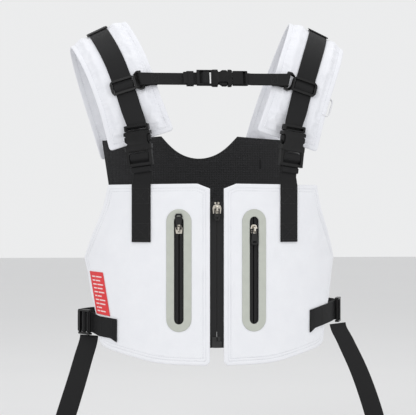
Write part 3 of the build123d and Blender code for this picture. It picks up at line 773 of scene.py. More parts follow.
# ---- the loose tails: free flat cords ----
def spline_points(route):
    """Points along the smooth spline that a route's points control, read back from Blender."""
    curve = bpy.data.curves.new("route", "CURVE")
    curve.dimensions = "3D"
    spline = curve.splines.new("NURBS")
    spline.points.add(len(route) - 1)
    for point, (x, y, z) in zip(spline.points, route):
        point.co = (x * MM, y * MM, z * MM, 1)
    give(spline, order_u=3, use_endpoint_u=True, resolution_u=12)
    holder = bpy.data.objects.new("route", curve)
    scene.collection.objects.link(holder)
    bpy.context.view_layer.update()
    mesh = bpy.data.meshes.new_from_object(holder.evaluated_get(bpy.context.evaluated_depsgraph_get()))
    line = np.array([v.co[:] for v in mesh.vertices]) / MM
    bpy.data.objects.remove(holder)
    return line


def make_tail(name, side):
    """The strap's loose end: it falls from the lock and turns towards the front."""
    route = TAIL_ROUTES[name]
    line = spline_points([(side * x, y, z) for x, y, z, _ in route])
    line = evenly(line, 2.0)
    heights = [p[2] for p in route][::-1]
    turn = np.radians(np.interp(line[:, 2], heights, [p[3] for p in route][::-1]))
    tangent = tangents(line)
    across = np.stack([np.cos(turn), side * np.sin(turn), np.zeros_like(turn)], axis=1)
    across = squared(across, tangent)
    normal = unit(np.cross(tangent, across))
    tail = ribbon(f"loose_tail_{name}", line, across, normal)
    black_strap(tail, f"side_tail_{name}")


# ---- front panels ----
def panel_loop(side):
    """A front panel's outline in x and z."""
    lower = smooth_curve([(128, 16.8), (100.7, 9.5), (77.1, 4.0), (37.7, 1.0), (12.5, 0.4)], 200)
    corner = smooth_curve([(142.5, 36), (139.5, 23.5), (128, 16.8)], 60)
    arm = smooth_curve([(131.5, 221.5), (138.5, 191), (147, 168.4), (155.2, 145.2), (159.7, 130.5)], 120)
    flank = smooth_curve([(159.7, 130.5), (155, 109), (150.8, 82.6), (146, 61.6), (142.5, 36)], 120)
    top = legs([(12.5, 0.4), (8.5, 4.5), (8.5, 216.5), (24, 222.5), (131.5, 221.5)])
    return joined(*top, arm, flank, corner, lower) * (side, 1)


def cloth_of_x(points):
    """Flat cloth coordinates of points given as x and z."""
    return np.stack([arc_of(points[:, 0]), points[:, 1]], axis=1)


def slot_loop(side, size):
    """An obround round a pocket, in x and z."""
    loop = obround(*size)
    arc = loop[:, 0] + arc_of(side * POCKET_X)
    return np.stack([x_of(arc), loop[:, 1] + POCKET_Z], axis=1)


def wrinkles(p, seed):
    """Broad shallow waves of a worn panel, in mm."""
    spots = np.stack([p[:, 0], p[:, 1], np.full(len(p), seed * 50.0)], axis=1)
    slanted = spots @ np.array([[0.9, 0.35, 0], [-0.6, 0.5, 0], [0, 0, 1]])
    return 0.55 * noise_at(slanted, 26, seed) + 0.25 * noise_at(slanted, 11, seed + 3)


def make_panel(name, side, number):
    """A front panel: woven white cloth with a turned hem and a slot for its pocket."""
    outline, slot = cloth_of_x(panel_loop(side)), cloth_of_x(slot_loop(side, POCKET_SLOT))
    shape = fill(outline, [slot], rows=(0.35, 0.9, 4.6, 5.2, 5.8, 8.0, 8.6, 9.2), step=2.0)
    p, _, d, _ = shape
    hem = edge_distance(p, [outline])
    calm = ease(edge_distance(p, [slot]), 8, 22) * ease(hem, 2, 14)
    relief = wrinkles(p, number) * (0.25 + 0.75 * calm)
    relief += 0.35 * (1 - ease(hem, PANEL_SEAMS[1], 10.5))
    relief -= 0.4 * dip(hem, PANEL_SEAMS[0], 0.6) + 0.4 * dip(hem, PANEL_SEAMS[1], 0.6)
    relief = np.minimum(relief, 0.25) * ease(d, 0, 1.5)
    near_web = 1 - ease(np.abs(np.abs(p[:, 0]) - arc_of(CHEST_WEB_X)), 13, 18)
    under_web = near_web * ease(p[:, 1], 145, 152)
    relief = relief * (1 - under_web) - 0.1 * under_web
    front, back = faces_of(-PANEL_THICK / 2, PANEL_THICK / 2, d)
    obj = closed_sheet(f"panel_{name}", shape, on_cloth(), front + relief, back + relief * 0.5)
    finish_piece(obj, WHITE, [f"front_panel_{name}"])
    rows = []
    for distance in PANEL_SEAMS:
        line = seam_line(outline, distance, 0.05)
        points, normals = chest(x_of(line[:, 0]), line[:, 1], 0.05)
        rows.append(stitches(points, normals))
    thread = stitch_mesh(f"panel_stitching_{name}", rows, WHITE_THREAD, 0.3, 2.1)


def make_weld_tape(name, side):
    """The film welded round a pocket slot."""
    inner = slot_loop(side, (POCKET_SLOT[0] - 0.4, POCKET_SLOT[1] - 0.4))
    shape = fill(slot_loop(side, POCKET_TAPE), [inner], rows=(0.3, 0.7), step=2.0)
    edge = rim(shape[2], 0.7)
    front, back = 0.45 + 0.4 * edge, 0.45 - 0.15 * edge
    obj = closed_sheet(f"weld_tape_{name}", shape, on_shell(), front, back, cloth_of_x)
    finish_piece(obj, WELD, [f"pocket_weld_tape_{name}"])


def make_pocket_bag(name, side):
    """The mesh bag behind a pocket."""
    corners = np.array([(20, 16), (112, 24), (122, 120), (112, 196), (20, 196), (20, 16)]) * (side, 1)
    outline = joined(*legs(corners), step=4.0)
    shape = fill(outline, rows=(0.5, 1.5), step=5.0)
    p, _, d, _ = shape
    sag = 0.5 * noise_at(np.stack([p[:, 0], p[:, 1], 0 * d], axis=1), 30, 5) * ease(d, 2, 12)
    front, back = faces_of(BAG_DEPTH, 0.45, d)
    obj = closed_sheet(f"bag_{name}", shape, on_shell(), front + sag, back + sag, cloth_of_x)
    finish_piece(obj, BLACK_MESH, [f"pocket_bag_{name}"])


def make_back_panel():
    """The back: a yoke of black mesh with a bound edge."""
    neck = smooth_curve([(52, 290), (28, 268), (0, 260), (-28, 268), (-52, 290)], 120)
    corners = [(-112, 24), (112, 24), (124, 80), (118, 180), (134, 282), (52, 290)]
    left = [(-52, 290), (-134, 282), (-118, 180), (-124, 80), (-112, 24)]
    outline = joined(*legs(corners), neck, *legs(left), step=3.0)
    shape = fill(outline, rows=(0.4, 1.0, 6.5, BACK_SEAM, 7.9), step=4.0)
    p, _, d, _ = shape
    wave = 0.6 * noise_at(np.stack([p[:, 0], p[:, 1], 0 * d], axis=1), 40, 9) * ease(d, 8, 25)
    relief = np.minimum(wave, 0.1) + 0.25 * (1 - ease(d, BACK_SEAM, 8.2)) * ease(d, 0, 1)
    relief -= 0.3 * dip(d, BACK_SEAM, 0.7)
    front, back = faces_of(-PANEL_THICK / 2, PANEL_THICK / 2, d)
    obj = closed_sheet("back_yoke", shape, on_shell(way=1), front + relief, back + relief, cloth_of_x)
    finish_piece(obj, BLACK_MESH, ["back_panel"])
    line = seam_line(outline, BACK_SEAM, 0.1)
    rows = [stitches(*chest(line[:, 0], line[:, 1], 0.1, way=1))]
    thread = black_stitches("back_stitching", rows, 0.3, 2.1)


# ---- shoulder pads ----
def pad_outline():
    """A pad laid flat: across in x and along in y, with rounded corners."""
    length, r = SHOULDER_LENGTH * PAD_END, 4.0
    half = PAD_WIDTH / 2
    corners = ((half - r, length - r, 0), (r - half, length - r, 90), (r - half, r, 180), (half - r, r, 270))
    loop = []
    for cx, cy, start in corners:
        for angle in np.linspace(start, start + 90, 6):
            loop.append((cx + r * cos(radians(angle)), cy + r * sin(radians(angle))))
    loop.append(loop[0])
    loop = evenly(loop, 2.0)[:-1]
    flare = PAD_FLARE * np.clip(1 - loop[:, 1] / (FLARE_END * SHOULDER_LENGTH), 0, 1)
    return loop * np.stack([1 + flare / PAD_WIDTH, np.ones(len(loop))], axis=1)


def pad_place(side):
    """Puts points of the flat pad, with a height over its underside, on the shoulder."""

    def place(points, height):
        point, _, across, normal = shoulder(side, points[:, 1] / SHOULDER_LENGTH)
        return point + across * (side * points[:, 0:1]) + normal * np.asarray(height)[:, None]

    return place


def pad_heights(d):
    """Top and bottom heights of a pad before it swells."""
    middle = PAD_THICK / 2
    border = 1.35 * rim(d, 1.5) - 0.55 * dip(d, PAD_SEAM, 1.2)
    crown = ease(d, PAD_SEAM, 17) * 1.5
    return middle + border + crown, middle - border - crown * 0.8


def swell(obj, pinned):
    """Fills a pad with Blender's cloth: its seams are held, and the rest puffs and puckers."""
    group = obj.vertex_groups.new(name="held")
    for index in np.nonzero(pinned)[0].tolist():
        group.add([index], 1.0, "REPLACE")
    cloth = obj.modifiers.new("cloth", "CLOTH")
    give(cloth.settings, vertex_group_mass="held", quality=6, mass=0.2, shrink_min=-0.05)
    give(cloth.settings, tension_stiffness=18, compression_stiffness=18, shear_stiffness=8)
    give(cloth.settings, bending_stiffness=0.3, use_pressure=True, uniform_pressure_force=4.0)
    cloth.settings.effector_weights.gravity = 0
    cloth.collision_settings.use_collision = False
    for step in range(1, SWELL_FRAMES + 1):
        scene.frame_set(step)
    evaluated = obj.evaluated_get(bpy.context.evaluated_depsgraph_get())
    moved = np.zeros(len(evaluated.data.vertices) * 3, np.float32)
    evaluated.data.vertices.foreach_get("co", moved)
    obj.modifiers.remove(cloth)
    obj.vertex_groups.clear()
    scene.frame_set(1)
    return moved.reshape(-1, 3).astype(float) / MM


def make_pad(name, side):
    """A shoulder pad: foam in white cloth, with a stitched border all round."""
    outline = pad_outline()
    shape = fill(outline, rows=(0.5, 1.4, 5.0, PAD_SEAM, 7.4), step=3.2)
    p, _, d, on_edge = shape
    front, back = pad_heights(d)
    place = pad_place(side)
    spots = np.stack([p[:, 0], p[:, 1] * 0.6, 0 * d + side * 30], axis=1)
    ripple = noise_at(spots, 9, 2.0) * ease(d, 6.5, 12)
    obj = closed_sheet(f"pad_{name}", shape, place, front + 0.35 * ripple, back)
    flat = np.concatenate([p, p[~on_edge]])
    depth = np.concatenate([d, d[~on_edge]])
    heights = np.concatenate([front, back[~on_edge]])
    rest = np.array([v.co[:] for v in obj.data.vertices]) / MM
    moved = swell(obj, depth < PAD_SEAM + 0.5)
    _, tangent, across, normal = shoulder(side, flat[:, 1] / SHOULDER_LENGTH)
    shift = moved - rest
    up = np.sum(shift * normal, axis=1)
    sideways = np.clip(np.sum(shift * across, axis=1), -1.5, 1.5)
    along = np.clip(np.sum(shift * tangent, axis=1), -1.5, 1.5)
    top = np.arange(len(flat)) < len(p)
    under = 1 - ease(np.abs(flat[:, 0]), 14, 24)
    limit = np.where(top, (PAD_THICK + 0.2) * under + (PAD_THICK + 3.2) * (1 - under), PAD_THICK / 2)
    floor_height = np.where(top, PAD_THICK / 2, -0.6)
    height = np.clip(heights + up, floor_height, limit)
    new = place(flat, height) + across * sideways[:, None] + tangent * along[:, None]
    obj.data.vertices.foreach_set("co", (new * MM).astype(np.float32).ravel())
    obj.data.update()
    give(obj.modifiers.new("smooth", "SUBSURF"), levels=1, render_levels=1)
    finish_piece(obj, WHITE_PAD, [f"shoulder_pad_{name}"])
    line = seam_line(outline, PAD_SEAM, 0.1)
    top, below = pad_heights(np.full(len(line), PAD_SEAM))
    normal = shoulder(side, line[:, 1] / SHOULDER_LENGTH)[3]
    rows = [stitches(place(line, top + 0.1), normal), stitches(place(line, below - 0.1), -normal)]
    stitch_mesh(f"pad_stitching_{name}", rows, WHITE_THREAD, 0.35, 2.2)


# ---- webbing ----
BUCKLE_X, BUCKLE_Z, SHOULDER_LEAN = 91.5, 262, 7.0
BUCKLE = {side: on_chest(side, BUCKLE_X, BUCKLE_OFFSET, BUCKLE_Z, SHOULDER_LEAN) for _, side in SIDES}
BUCKLE_LENGTH, BUCKLE_BASE = 25.0, 7.8
BASE_SLOT = 5.0  # from a buckle base's end back to the middle of its slot
STRAP_IN = -2.6  # a strap's middle where it meets a buckle, from the buckle's own middle
LADDER = [(-2.6, STRAP_IN), (-2.6, 2.6), (-9, 2.6), (-13.2, -0.6)]


def box_stitch(plane_at, low, high, half):
    """Rows of a box stitch with its two diagonals; plane_at(u, v) gives points and normals."""
    corners = [(-half, low), (half, low), (half, high), (-half, high), (-half, low), (half, high)]
    lines = legs(corners) + [[(half, low), (-half, high)]]
    return [stitches(*plane_at(*evenly(line, 1.0).T), 2.4) for line in lines]


def make_chest_webbing(name, side):
    """The strap sewn down a front panel, up through the buckle's ladder, with its folded end."""
    plane = BUCKLE[side]
    sewn = np.arange(151, 222, 2.0)
    point, normal = chest(np.full(len(sewn), side * CHEST_WEB_X), sewn, SEWN)
    across = round_shell(normal)
    path = rounded_path([(-30, STRAP_IN), *LADDER, (-25.2, -0.6), (-25.2, 1.2), (-19.4, 1.2)], 1.3)
    climb = plane.at(0, path[:, 0], path[:, 1])
    tangent = tangents(climb)
    climb_normal = unit(np.cross(plane.x, tangent))
    gap = evenly([point[-1], climb[0]], 2.0)[1:-1]
    mix = np.linspace(0, 1, len(gap) + 2)[1:-1, None]
    mid = np.concatenate([point, gap, climb])
    normals = np.concatenate([normal, unit(normal[-1] * (1 - mix) + climb_normal[0] * mix), climb_normal])
    acrosses = np.concatenate(
        [across, unit(across[-1] * (1 - mix) + plane.x * mix), np.broadcast_to(plane.x, climb.shape)]
    )
    bow = np.where(mid[:, 2] < 226, SEWN_BOW, 0.0)
    obj = ribbon(f"chest_strap_{name}", mid, acrosses, normals, bow=bow)
    black_strap(obj, f"chest_webbing_{name}")
    face = on_sewn_web(side * CHEST_WEB_X)
    rows = box_stitch(face, 153.5, 174, BOX_STITCH) + box_stitch(face, 198, 217, BOX_STITCH)
    black_stitches(f"chest_stitching_{name}", rows)


def make_shoulder_webbing(name, side):
    """The strap from the buckle's base, over the pad and the slider's bar, to the back."""
    plane = BUCKLE[side]
    slot = BUCKLE_LENGTH + BUCKLE_BASE - BASE_SLOT
    over_bar = [STERNUM_AT + k / SHOULDER_LENGTH for k in (-11, -6.4, -2.6, 2.6, 6.4, 11)]
    lift_at = [0.1, 0.13, *over_bar, 0.25, 0.96]
    lift_of = [2.0, 0.7, 0, 0, 2.3, 2.3, 0, 0, 0, 0]
    t = np.concatenate([np.arange(0.1, 0.26, 0.004), np.arange(0.26, 0.965, 0.006)])
    point, tangent, across, normal = shoulder(side, t)
    lift = np.interp(t, lift_at, lift_of)
    lift[1:-1] = np.convolve(lift, [0.25, 0.5, 0.25], "valid")
    over = point + normal * (WEB_LOW + lift)[:, None]
    start = plane.at(0, [slot, slot + 5.5], [-1.5, -1.6])
    end_point, end_normal = chest(np.full(3, side * BACK_WEB_X), [263, 256, 246], [4.6, 3.2, 2.9], way=1)
    mid = np.concatenate([start, over, end_point])
    across = np.concatenate([np.tile(plane.x * side, (2, 1)), across, np.tile([side, 0, 0], (3, 1))])
    normals = np.concatenate([np.tile(plane.z, (2, 1)), normal, end_normal])
    s = lengths(mid)
    mid, across, normals = (sample(np.arange(0, s[-1], 1.6), s, a) for a in (mid, across, normals))
    inner = slice(2, -2)
    for _ in range(2):
        mid[inner] = (mid[1:-3] + 2 * mid[inner] + mid[3:-1]) / 4
    tangent = tangents(mid)
    across = squared(across, tangent)
    fixed = unit(np.cross(tangent, across))
    fixed *= np.sign(np.sum(fixed * normals, axis=1, keepdims=True))
    obj = ribbon(f"shoulder_strap_{name}", mid, across, fixed)
    black_strap(obj, f"shoulder_webbing_{name}")


def make_shoulder_band(name, side):
    """The sewn band that holds the strap to the top of its pad."""
    t = np.linspace(0.435, 0.475, 9)
    point, _, across, normal = shoulder(side, t)
    mid = point + normal * (WEB_LOW + WEB_THICK / 2 + 0.75)
    obj = ribbon(f"top_band_{name}", mid, across, normal, width=28, thick=0.9)
    black_strap(obj, f"shoulder_band_{name}")
    rows = []
    for k in (1, 7):
        line = mid[k] + across[k] * np.linspace(-12, 12, 20)[:, None] + normal[k] * 0.5
        rows.append(stitches(line, np.tile(normal[k], (20, 1)), 2.4))
    black_stitches(f"top_stitching_{name}", rows, 0.3, 1.7)


def make_back_webbing(name, side):
    """The strap sewn down the back panel."""
    z = np.arange(40, 258.5, 3.0)
    point, normal = chest(np.full(len(z), side * BACK_WEB_X), z, SEWN, way=1)
    obj = ribbon(f"back_strap_{name}", point, round_shell(normal), normal, bow=SEWN_BOW)
    black_strap(obj, f"back_webbing_{name}")
    face = on_sewn_web(side * BACK_WEB_X, way=1)
    rows = box_stitch(face, 43, 64, BOX_STITCH) + box_stitch(face, 222, 243, BOX_STITCH)
    black_stitches(f"back_strap_stitching_{name}", rows)


# ---- sternum strap ----
SLIDER_BASE = PAD_THICK + PAD_GAP
LOOP_REACH = 24.0
STRAP_PLANE = {side: on_strap(side, STERNUM_AT, 0, lean=3) for _, side in SIDES}
LOOP_CENTRE = {side: p.at(-side * LOOP_REACH, 0, SLIDER_BASE + 3.4) for side, p in STRAP_PLANE.items()}
STERNUM_TILT = radians(20.0)
STERNUM_NORMAL = np.array([0, -cos(STERNUM_TILT), sin(STERNUM_TILT)])
EYE_MID = 2.7
FOLDED_IN = -4.35  # the middle of a sternum strap's end, folded back under it
STERNUM = Flat(
    np.array([-5, LOOP_CENTRE[1][1], LOOP_CENTRE[1][2]]) + STERNUM_NORMAL * (EYE_MID - STRAP_IN),
    np.cross([1, 0, 0], STERNUM_NORMAL),
    STERNUM_NORMAL,
)
STERNUM_LENGTH, STERNUM_BASE = 26.0, 19.0


def eye_path(reach, sign):
    """A strap's end, in (along, outwards): round its loop bar and back under itself."""
    bar = (sign * reach, STRAP_IN - EYE_MID)
    angles = np.linspace(0.2, pi - 0.2, 10)
    turn = [(bar[0] + sign * EYE_MID * sin(a), bar[1] + EYE_MID * cos(a)) for a in angles]
    back = [(6, STRAP_IN - 2 * EYE_MID + 1.0), (10, FOLDED_IN), (19, FOLDED_IN)]
    return turn, [(sign * (reach - along), height) for along, height in back]


def eye_across(mid, side):
    """The strap's across direction, which turns to its slider's bar close to the eye."""
    bar = -STRAP_PLANE[side].y
    loop = abs(LOOP_CENTRE[side][0])
    near = ease(np.abs(mid[:, 0]), loop - 16, loop - 2)[:, None]
    return unit(STERNUM.x * (1 - near) + bar * near)


def make_sternum_strap(name, side):
    """One half of the strap across the chest, from its slider to the buckle."""
    loop = abs(LOOP_CENTRE[side][0])
    reach = loop + 5 if side > 0 else loop - 5
    turn, back = eye_path(reach, side)
    if side < 0:
        path = [(-reach * 0.5, STRAP_IN), *LADDER, (-34, -0.6), (-34, 1.1), (-29, 1.1)]
        path = back[::-1] + turn[::-1] + [(-reach + 1, STRAP_IN)] + path
    else:
        slot = STERNUM_LENGTH + STERNUM_BASE - BASE_SLOT
        path = [(slot + 6, -4.1), (slot - 0.6, -4.1), (slot - 0.6, -1.5), (slot + 6, -1.5)]
        path = path + [(slot + 10, STRAP_IN), (reach - 1, STRAP_IN)] + turn + back
    path = rounded_path(path, 1.2)
    mid = STERNUM.at(0, path[:, 0], path[:, 1])
    across = eye_across(mid, side)
    tangent = tangents(mid)
    across = squared(across, tangent)
    normal = unit(np.cross(across, tangent))
    obj = ribbon(f"sternum_strap_{name}", mid, across, normal, width=STERNUM_WEB, thick=1.5)
    black_strap(obj, f"sternum_webbing_{name}")

    def on_web(u, v):
        points = STERNUM.at(u, v, STRAP_IN + 0.85)
        return points, np.broadcast_to(STERNUM.z, points.shape)

    ends = sorted((side * (reach - 12), side * (reach - 20)))
    rows = box_stitch(on_web, ends[0], ends[1], 6.0)
    black_stitches(f"sternum_stitching_{name}", rows, 0.28, 1.6)


def make_keeper():
    """The elastic keeper that holds the sternum strap's end."""
    corners = [(-9.1, -4.1), (9.1, -4.1), (9.1, 0.9), (-9.1, 0.9)]
    ring = []
    for (a, b), (c, d) in zip(corners, corners[1:] + corners[:1]):
        ring += [(a + (c - a) * f, b + (d - b) * f) for f in (0.08, 0.5, 0.92)]
    ring = evenly(ring + ring[:2], 0.8)
    mid = STERNUM.at(ring[:, 0], -26, ring[:, 1])
    tangent = tangents(mid)
    obj = ribbon("strap_keeper", mid, STERNUM.y, unit(np.cross(STERNUM.y, tangent)), width=9, thick=1.0)
    black_strap(obj, "sternum_keeper")


# ---- side adjusters ----
LOCK_A, LOCK_B = CHEST_A + 1.2, CHEST_B + 1.2
LOCK_X = {side: LOCK_A * sqrt(1 - (LOCK_Y[side] / LOCK_B) ** 2) for _, side in SIDES}


def lock_plane(side):
    """The ladder lock's plane: its y runs forward round the chest."""
    outward = unit(np.array([side * LOCK_X[side] / LOCK_A**2, LOCK_Y[side] / LOCK_B**2, 0]))
    forward = np.array([outward[1] * side, -outward[0] * side, 0])
    origin = np.array([side * LOCK_X[side], LOCK_Y[side], LOCK_Z[side]]) + outward * LOCK_OFFSET
    return Flat(origin, np.cross(forward, outward), outward)


FRONT_BAR, MIDDLE_BAR = 11.4, -1.0
RING = 2.7


def shell_row(side, start, stop, offset, way=-1):
    """Points 2 apart round the chest between two lengths of arc, at the lock's height."""
    arc = np.arange(start, stop, 2.0 if stop > start else -2.0)
    return chest(side * x_of(arc), np.full(len(arc), LOCK_Z[side]), offset, way)[0]


def bar_ring(plane, bar, start, stop):
    """Points round one of a lock's bars, by angle from outwards towards the front."""
    angle = np.radians(np.arange(start, stop, 15 if stop > start else -15))
    return plane.at(0, bar + RING * np.sin(angle), RING * np.cos(angle))


def level_ribbon(name, mid, shift=None):
    """A strap that runs level, with its width upright."""
    mid = evenly(mid, 1.0)
    tangent = tangents(mid)
    up = np.array([0, 0, 1.0])
    return ribbon(name, mid, up, unit(np.cross(tangent, up)), shift=shift)


def tab_height(side, x, bar_x):
    """The height of a tab's middle: it climbs from the panel and bends up to its lock."""
    (start_x, start_z), (bend_x, bend_z) = TAB_LINE[side]
    return np.interp(np.abs(x), [start_x, bend_x, bar_x - 3], [start_z, bend_z, LOCK_Z[side]])


def make_side_tab(name, side):
    """The tab that is sewn to a panel and closes round the lock's front bar."""
    plane = lock_plane(side)
    bar = plane.at(0, FRONT_BAR, 0)
    near = arc_of(abs(bar[0])) - 3
    outer = shell_row(side, arc_of(TAB_LINE[side][0][0]), near, SEWN)
    inner = shell_row(side, near - 4, arc_of(131), -3.0)
    ring = bar_ring(plane, FRONT_BAR, 15, -196)
    for row in (outer, inner):
        row[:, 2] = tab_height(side, row[:, 0], abs(bar[0]))
    path = np.concatenate([outer, ring, inner])

    def flare(u, s):
        return -3.4 * (1 - ease(s, 0, 11)) * ease(-u, 2, WEB / 2)

    obj = level_ribbon(f"tab_{name}", path, shift=flare)
    black_strap(obj, f"side_tab_{name}")
    rows = []
    for x in (122.5, 125.5, 138):
        z = tab_height(side, x, abs(bar[0])) + np.linspace(-11, 11, 24)
        points, normals = chest(np.full(24, side * x), z, SEWN_TOP)
        rows.append(stitches(points, normals, 2.4))
    black_stitches(f"tab_stitching_{name}", rows)


def make_side_strap(name, side):
    """The strap from the back round to the lock's middle bar."""
    plane = lock_plane(side)
    behind = plane.at(0, -22, -2.2)
    arc_back = shell_row(side, arc_of(106), arc_of(CHEST_A - 1), SEWN, way=1)
    angle = np.radians(np.arange(8, -8, -1.0))
    x, y = side * CHEST_A * np.cos(angle), CHEST_B * np.sin(angle)
    outward = unit(np.stack([x / CHEST_A**2, y / CHEST_B**2, 0 * x], axis=1))
    round_side = np.stack([x, y, np.full(len(x), LOCK_Z[side])], axis=1) + outward * SEWN
    round_side = round_side[(round_side[:, 1] > behind[1] + 1) & (round_side[:, 1] < arc_back[-1][1] - 1)]
    under = [plane.at(0, -15, -2.3), plane.at(0, -9, -1.9)]
    ring = bar_ring(plane, MIDDLE_BAR, -70, 165)
    path = np.concatenate([arc_back, round_side, [behind], under, ring])
    obj = level_ribbon(f"side_band_{name}", path)
    black_strap(obj, f"side_strap_{name}")


# ---- zips ----
TAPE_FACE, TAPE_THICK, COIL_DEPTH = -2.1, 0.7, -3.4
COIL_AT, COIL_PITCH, COIL_SLANT = 1.8, 1.3, 0.25  # from the zip's middle, between turns, and their lean
FRONT_ZIP, POCKET_ZIP = (36.3, 200.0), (POCKET_Z - 68, POCKET_Z + 68)
FRONT_REACH, POCKET_REACH = 15.0, 12.0  # a tape's outer edge, from the zip's middle
TAPE_FOOT = 22.0  # the front tapes run on below their zip
BOX_SIDE = 5.8  # the box is moulded on the tapes: each runs on 0.2 mm inside its edge
MOULDED = {-1: (35.2, 35.2, 0), 1: (35.2, 29.5, -0.9)}  # by side: top, foot and inner edge of the part inside
LIP = 0.15  # the closed front zip's lips nearly meet, so that nothing shows between them
LIP_RISE = 0.1  # half of the space between a tape and the slider's front plate


def make_zip(name, arc_middle, z_low, z_high, reach, low_reach, nodes):
    """Two zip tapes with a raised lip where they meet, and the coil's turns behind them."""
    for edge, letter, node in zip((-1, 1), "ab", nodes):
        corner = [(0.55, z_low), (0.55, z_high), (reach, z_high), (reach, z_low), (0.55, z_low)]
        if low_reach:
            top, foot, side_in = MOULDED[edge]
            corner = [(LIP, top), (LIP, z_high), (reach, z_high), (reach, low_reach), (BOX_SIDE, low_reach)]
            corner += [(BOX_SIDE, foot), (side_in, foot), (side_in, top)] if foot < top else [(BOX_SIDE, top)]
            corner += [(LIP, top)]
        outline = joined(*legs(corner), step=1.8) * (edge, 1)
        shape = fill(outline, rows=(0.3, 1.1), step=2.4)
        p, _, d, _ = shape
        lip = LIP_RISE * (1 - ease(np.abs(p[:, 0]), 1.0, 3.2)) * rim(d, 0.5)
        front, back = faces_of(TAPE_FACE - TAPE_THICK / 2, TAPE_THICK / 2, d, 0.6)
        tape = closed_sheet(f"{name}_tape_{letter}", shape, on_cloth(arc_middle), front + lip, back)
        finish_piece(tape, ZIP_TAPE, node)
        z = np.arange(z_low + 1, z_high - 1, COIL_PITCH)
        coil, normal = chest(np.full(len(z), x_of(arc_middle + edge * COIL_AT)), z, COIL_DEPTH)
        across = round_shell(normal, COIL_SLANT * edge)
        teeth = grains(f"{name}_teeth_{letter}", coil, across, normal, 2.2, 0.5, flat=1.5)
        finish_piece(teeth, ZIP_TEETH)


def make_zips():
    """The front zip and both pocket zips."""
    nodes = [["front_zip_tape_right"], ["front_zip_tape_left"]]
    make_zip("front_zip", 0.0, *FRONT_ZIP, FRONT_REACH, TAPE_FOOT, nodes)
    for name, side in SIDES:
        nodes = [[f"pocket_zip_chain_{name}"], []]
        make_zip(f"pocket_zip_{name}", arc_of(side * POCKET_X), *POCKET_ZIP, POCKET_REACH, None, nodes)


# ---- small trim ----
def make_label():
    """The red care label on the wearer's right side, with plain bars in place of print."""
    corners = np.array([(-152.6, 113.9), (-136.8, 112.6), (-128.3, 58.6), (-144.4, 61.2), (-152.6, 113.9)])
    outline = joined(*legs(corners), step=1.5)
    shape = fill(outline, rows=(0.3, 0.7), step=2.5)
    edge = rim(shape[2], 0.5)
    obj = closed_sheet("care_label", shape, on_shell(), 0.5 + 0.22 * edge, 0.5 - 0.2 * edge, cloth_of_x)
    finish_piece(obj, LABEL, ["side_label"])
    top_left, top_right, low_right, low_left = corners[:4]
    verts, faces, weave = [], [], []
    shares = (0.1, 0.19, 0.28, 0.37, 0.46, 0.55, 0.64, 0.73, 0.82, 0.9)
    ends = (0.84, 0.7, 0.86, 0.78, 0.86, 0.62, 0.84, 0.8, 0.5, 0.74)
    for share, end in zip(shares, ends):
        for low, high in ((0.14, end * 0.46), (end * 0.52, end)):
            strip = []
            for u in np.linspace(low, high, 5):
                for v in (share, share + 0.028):
                    a, b = top_left + (low_left - top_left) * v, top_right + (low_right - top_right) * v
                    strip.append(a + (b - a) * u)
            base = len(verts)
            verts += list(chest(*np.array(strip).T, 0.76)[0])
            weave += [(*s, 0) for s in strip]
            faces += [(base + 2 * k, base + 2 * k + 1, base + 2 * k + 3, base + 2 * k + 2) for k in range(4)]
    bars = make_mesh("care_label_bars", verts, faces, weave)
    finish_piece(bars, LABEL_PRINT)


def make_pad_loop():
    """The thin elastic loop on the left pad's outer edge."""
    plane = on_strap(1, 0.15, 3.2)
    centre = PAD_WIDTH / 2 + 0.4
    angle = np.radians(np.arange(-96, 97, 8.0))
    across, along = 4.6 * np.cos(angle), np.sign(np.sin(angle)) * 7 + 4.6 * np.sin(angle)
    ring = np.stack([centre + across - 1.2, along], axis=1)
    ring = evenly([(centre - 5, -11.5), *ring, (centre - 5, 11.5)], 0.8)
    mid = plane.at(ring[:, 0], ring[:, 1], 0)
    tangent = tangents(mid)
    obj = ribbon("edge_loop", mid, plane.z, unit(np.cross(plane.z, tangent)), width=3.0, thick=1.4)
    finish_piece(obj, ELASTIC, ["pad_loop"])


# ---- carried-over CAD pieces ----
def dress(node, material, bevel):
    """A CAD piece with its own finish and softened edges."""
    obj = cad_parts[node]
    obj.data.materials.clear()
    obj.data.materials.append(material)
    give(obj.modifiers.new("weld", "WELD"), merge_threshold=0.00001)
    give(obj.modifiers.new("flat", "DECIMATE"), decimate_type="DISSOLVE", angle_limit=radians(2))
    soft = obj.modifiers.new("soft", "BEVEL")
    give(soft, width=bevel * MM, segments=3, limit_method="ANGLE", angle_limit=radians(35))
    obj.data.shade_smooth()
    give(obj.modifiers.new("normals", "WEIGHTED_NORMAL"), keep_sharp=True)


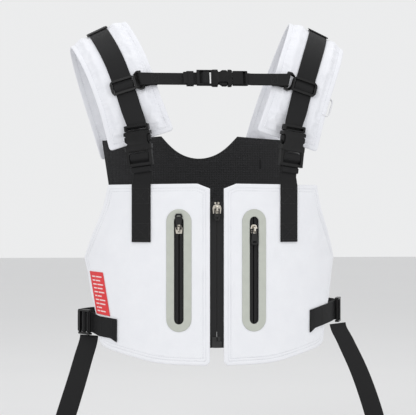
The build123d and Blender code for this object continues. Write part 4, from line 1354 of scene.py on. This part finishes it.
def dress_all():
    """Every hard CAD piece, by the start of its name."""
    finishes = (
        ("shoulder_buckle", PLASTIC, 0.7),
        ("sternum_buckle", PLASTIC, 0.5),
        ("sternum_slider", PLASTIC, 0.6),
        ("side_lock", PLASTIC, 0.5),
        ("zip_box", GREY_PLASTIC, 0.3),
        ("zip_pin", GREY_PLASTIC, 0.3),
        ("zip_top_stops", METAL, 0.2),
        ("front_zip_slider", METAL, 0.25),
        ("pocket_zip_slider", METAL, 0.25),
        ("front_zip_puller", RUBBER, 0.25),
        ("pocket_zip_puller", RUBBER, 0.25),
    )
    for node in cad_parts:
        for start, material, bevel in finishes:
            if node.startswith(start):
                dress(node, material, bevel)


# ---- studio ----
def area_light(name, place, aim, size, power):
    """A large soft lamp that looks at a point."""
    data = bpy.data.lights.new(name, "AREA")
    give(data, shape="SQUARE", size=size, energy=power)
    lamp = bpy.data.objects.new(name, data)
    lamp.location = place
    lamp.rotation_euler = (Vector(aim) - Vector(place)).to_track_quat("-Z", "Y").to_euler()
    scene.collection.objects.link(lamp)


def make_studio():
    """A pale floor under the tails, a pale world and three soft lamps."""
    size, level = 9000.0, -146.0
    corners = [(-size, -size, level), (size, -size, level), (size, size, level), (-size, size, level)]
    ground = make_mesh("floor", corners, [(0, 1, 2, 3)], smooth=False)
    ground.data.materials.append(floor_paint())
    world = bpy.data.worlds.new("studio")
    scene.world = world
    world.use_nodes = True
    background = world.node_tree.nodes["Background"]
    background.inputs["Color"].default_value = (0.9, 0.905, 0.91, 1)
    background.inputs["Strength"].default_value = 0.93
    chest_point = (0, -0.05, 0.2)
    area_light("key", (-1.3, -2.2, 1.5), chest_point, 1.4, 14.5)
    area_light("fill", (1.7, -1.9, 0.9), chest_point, 1.6, 7.5)
    area_light("top", (0.1, 0.5, 2.2), chest_point, 1.5, 9.5)
    scene.view_settings.view_transform = "Standard"
    scene.view_settings.look = "None"


make_camera()
for name, side in SIDES:
    make_tail(name, side)
make_studio()
for number, (name, side) in enumerate(SIDES):
    make_panel(name, side, number)
    make_weld_tape(name, side)
    make_pocket_bag(name, side)
    make_pad(name, side)
    make_chest_webbing(name, side)
    make_shoulder_webbing(name, side)
    make_shoulder_band(name, side)
    make_back_webbing(name, side)
    make_sternum_strap(name, side)
    make_side_tab(name, side)
    make_side_strap(name, side)
make_back_panel()
make_keeper()
make_zips()
make_label()
make_pad_loop()
dress_all()
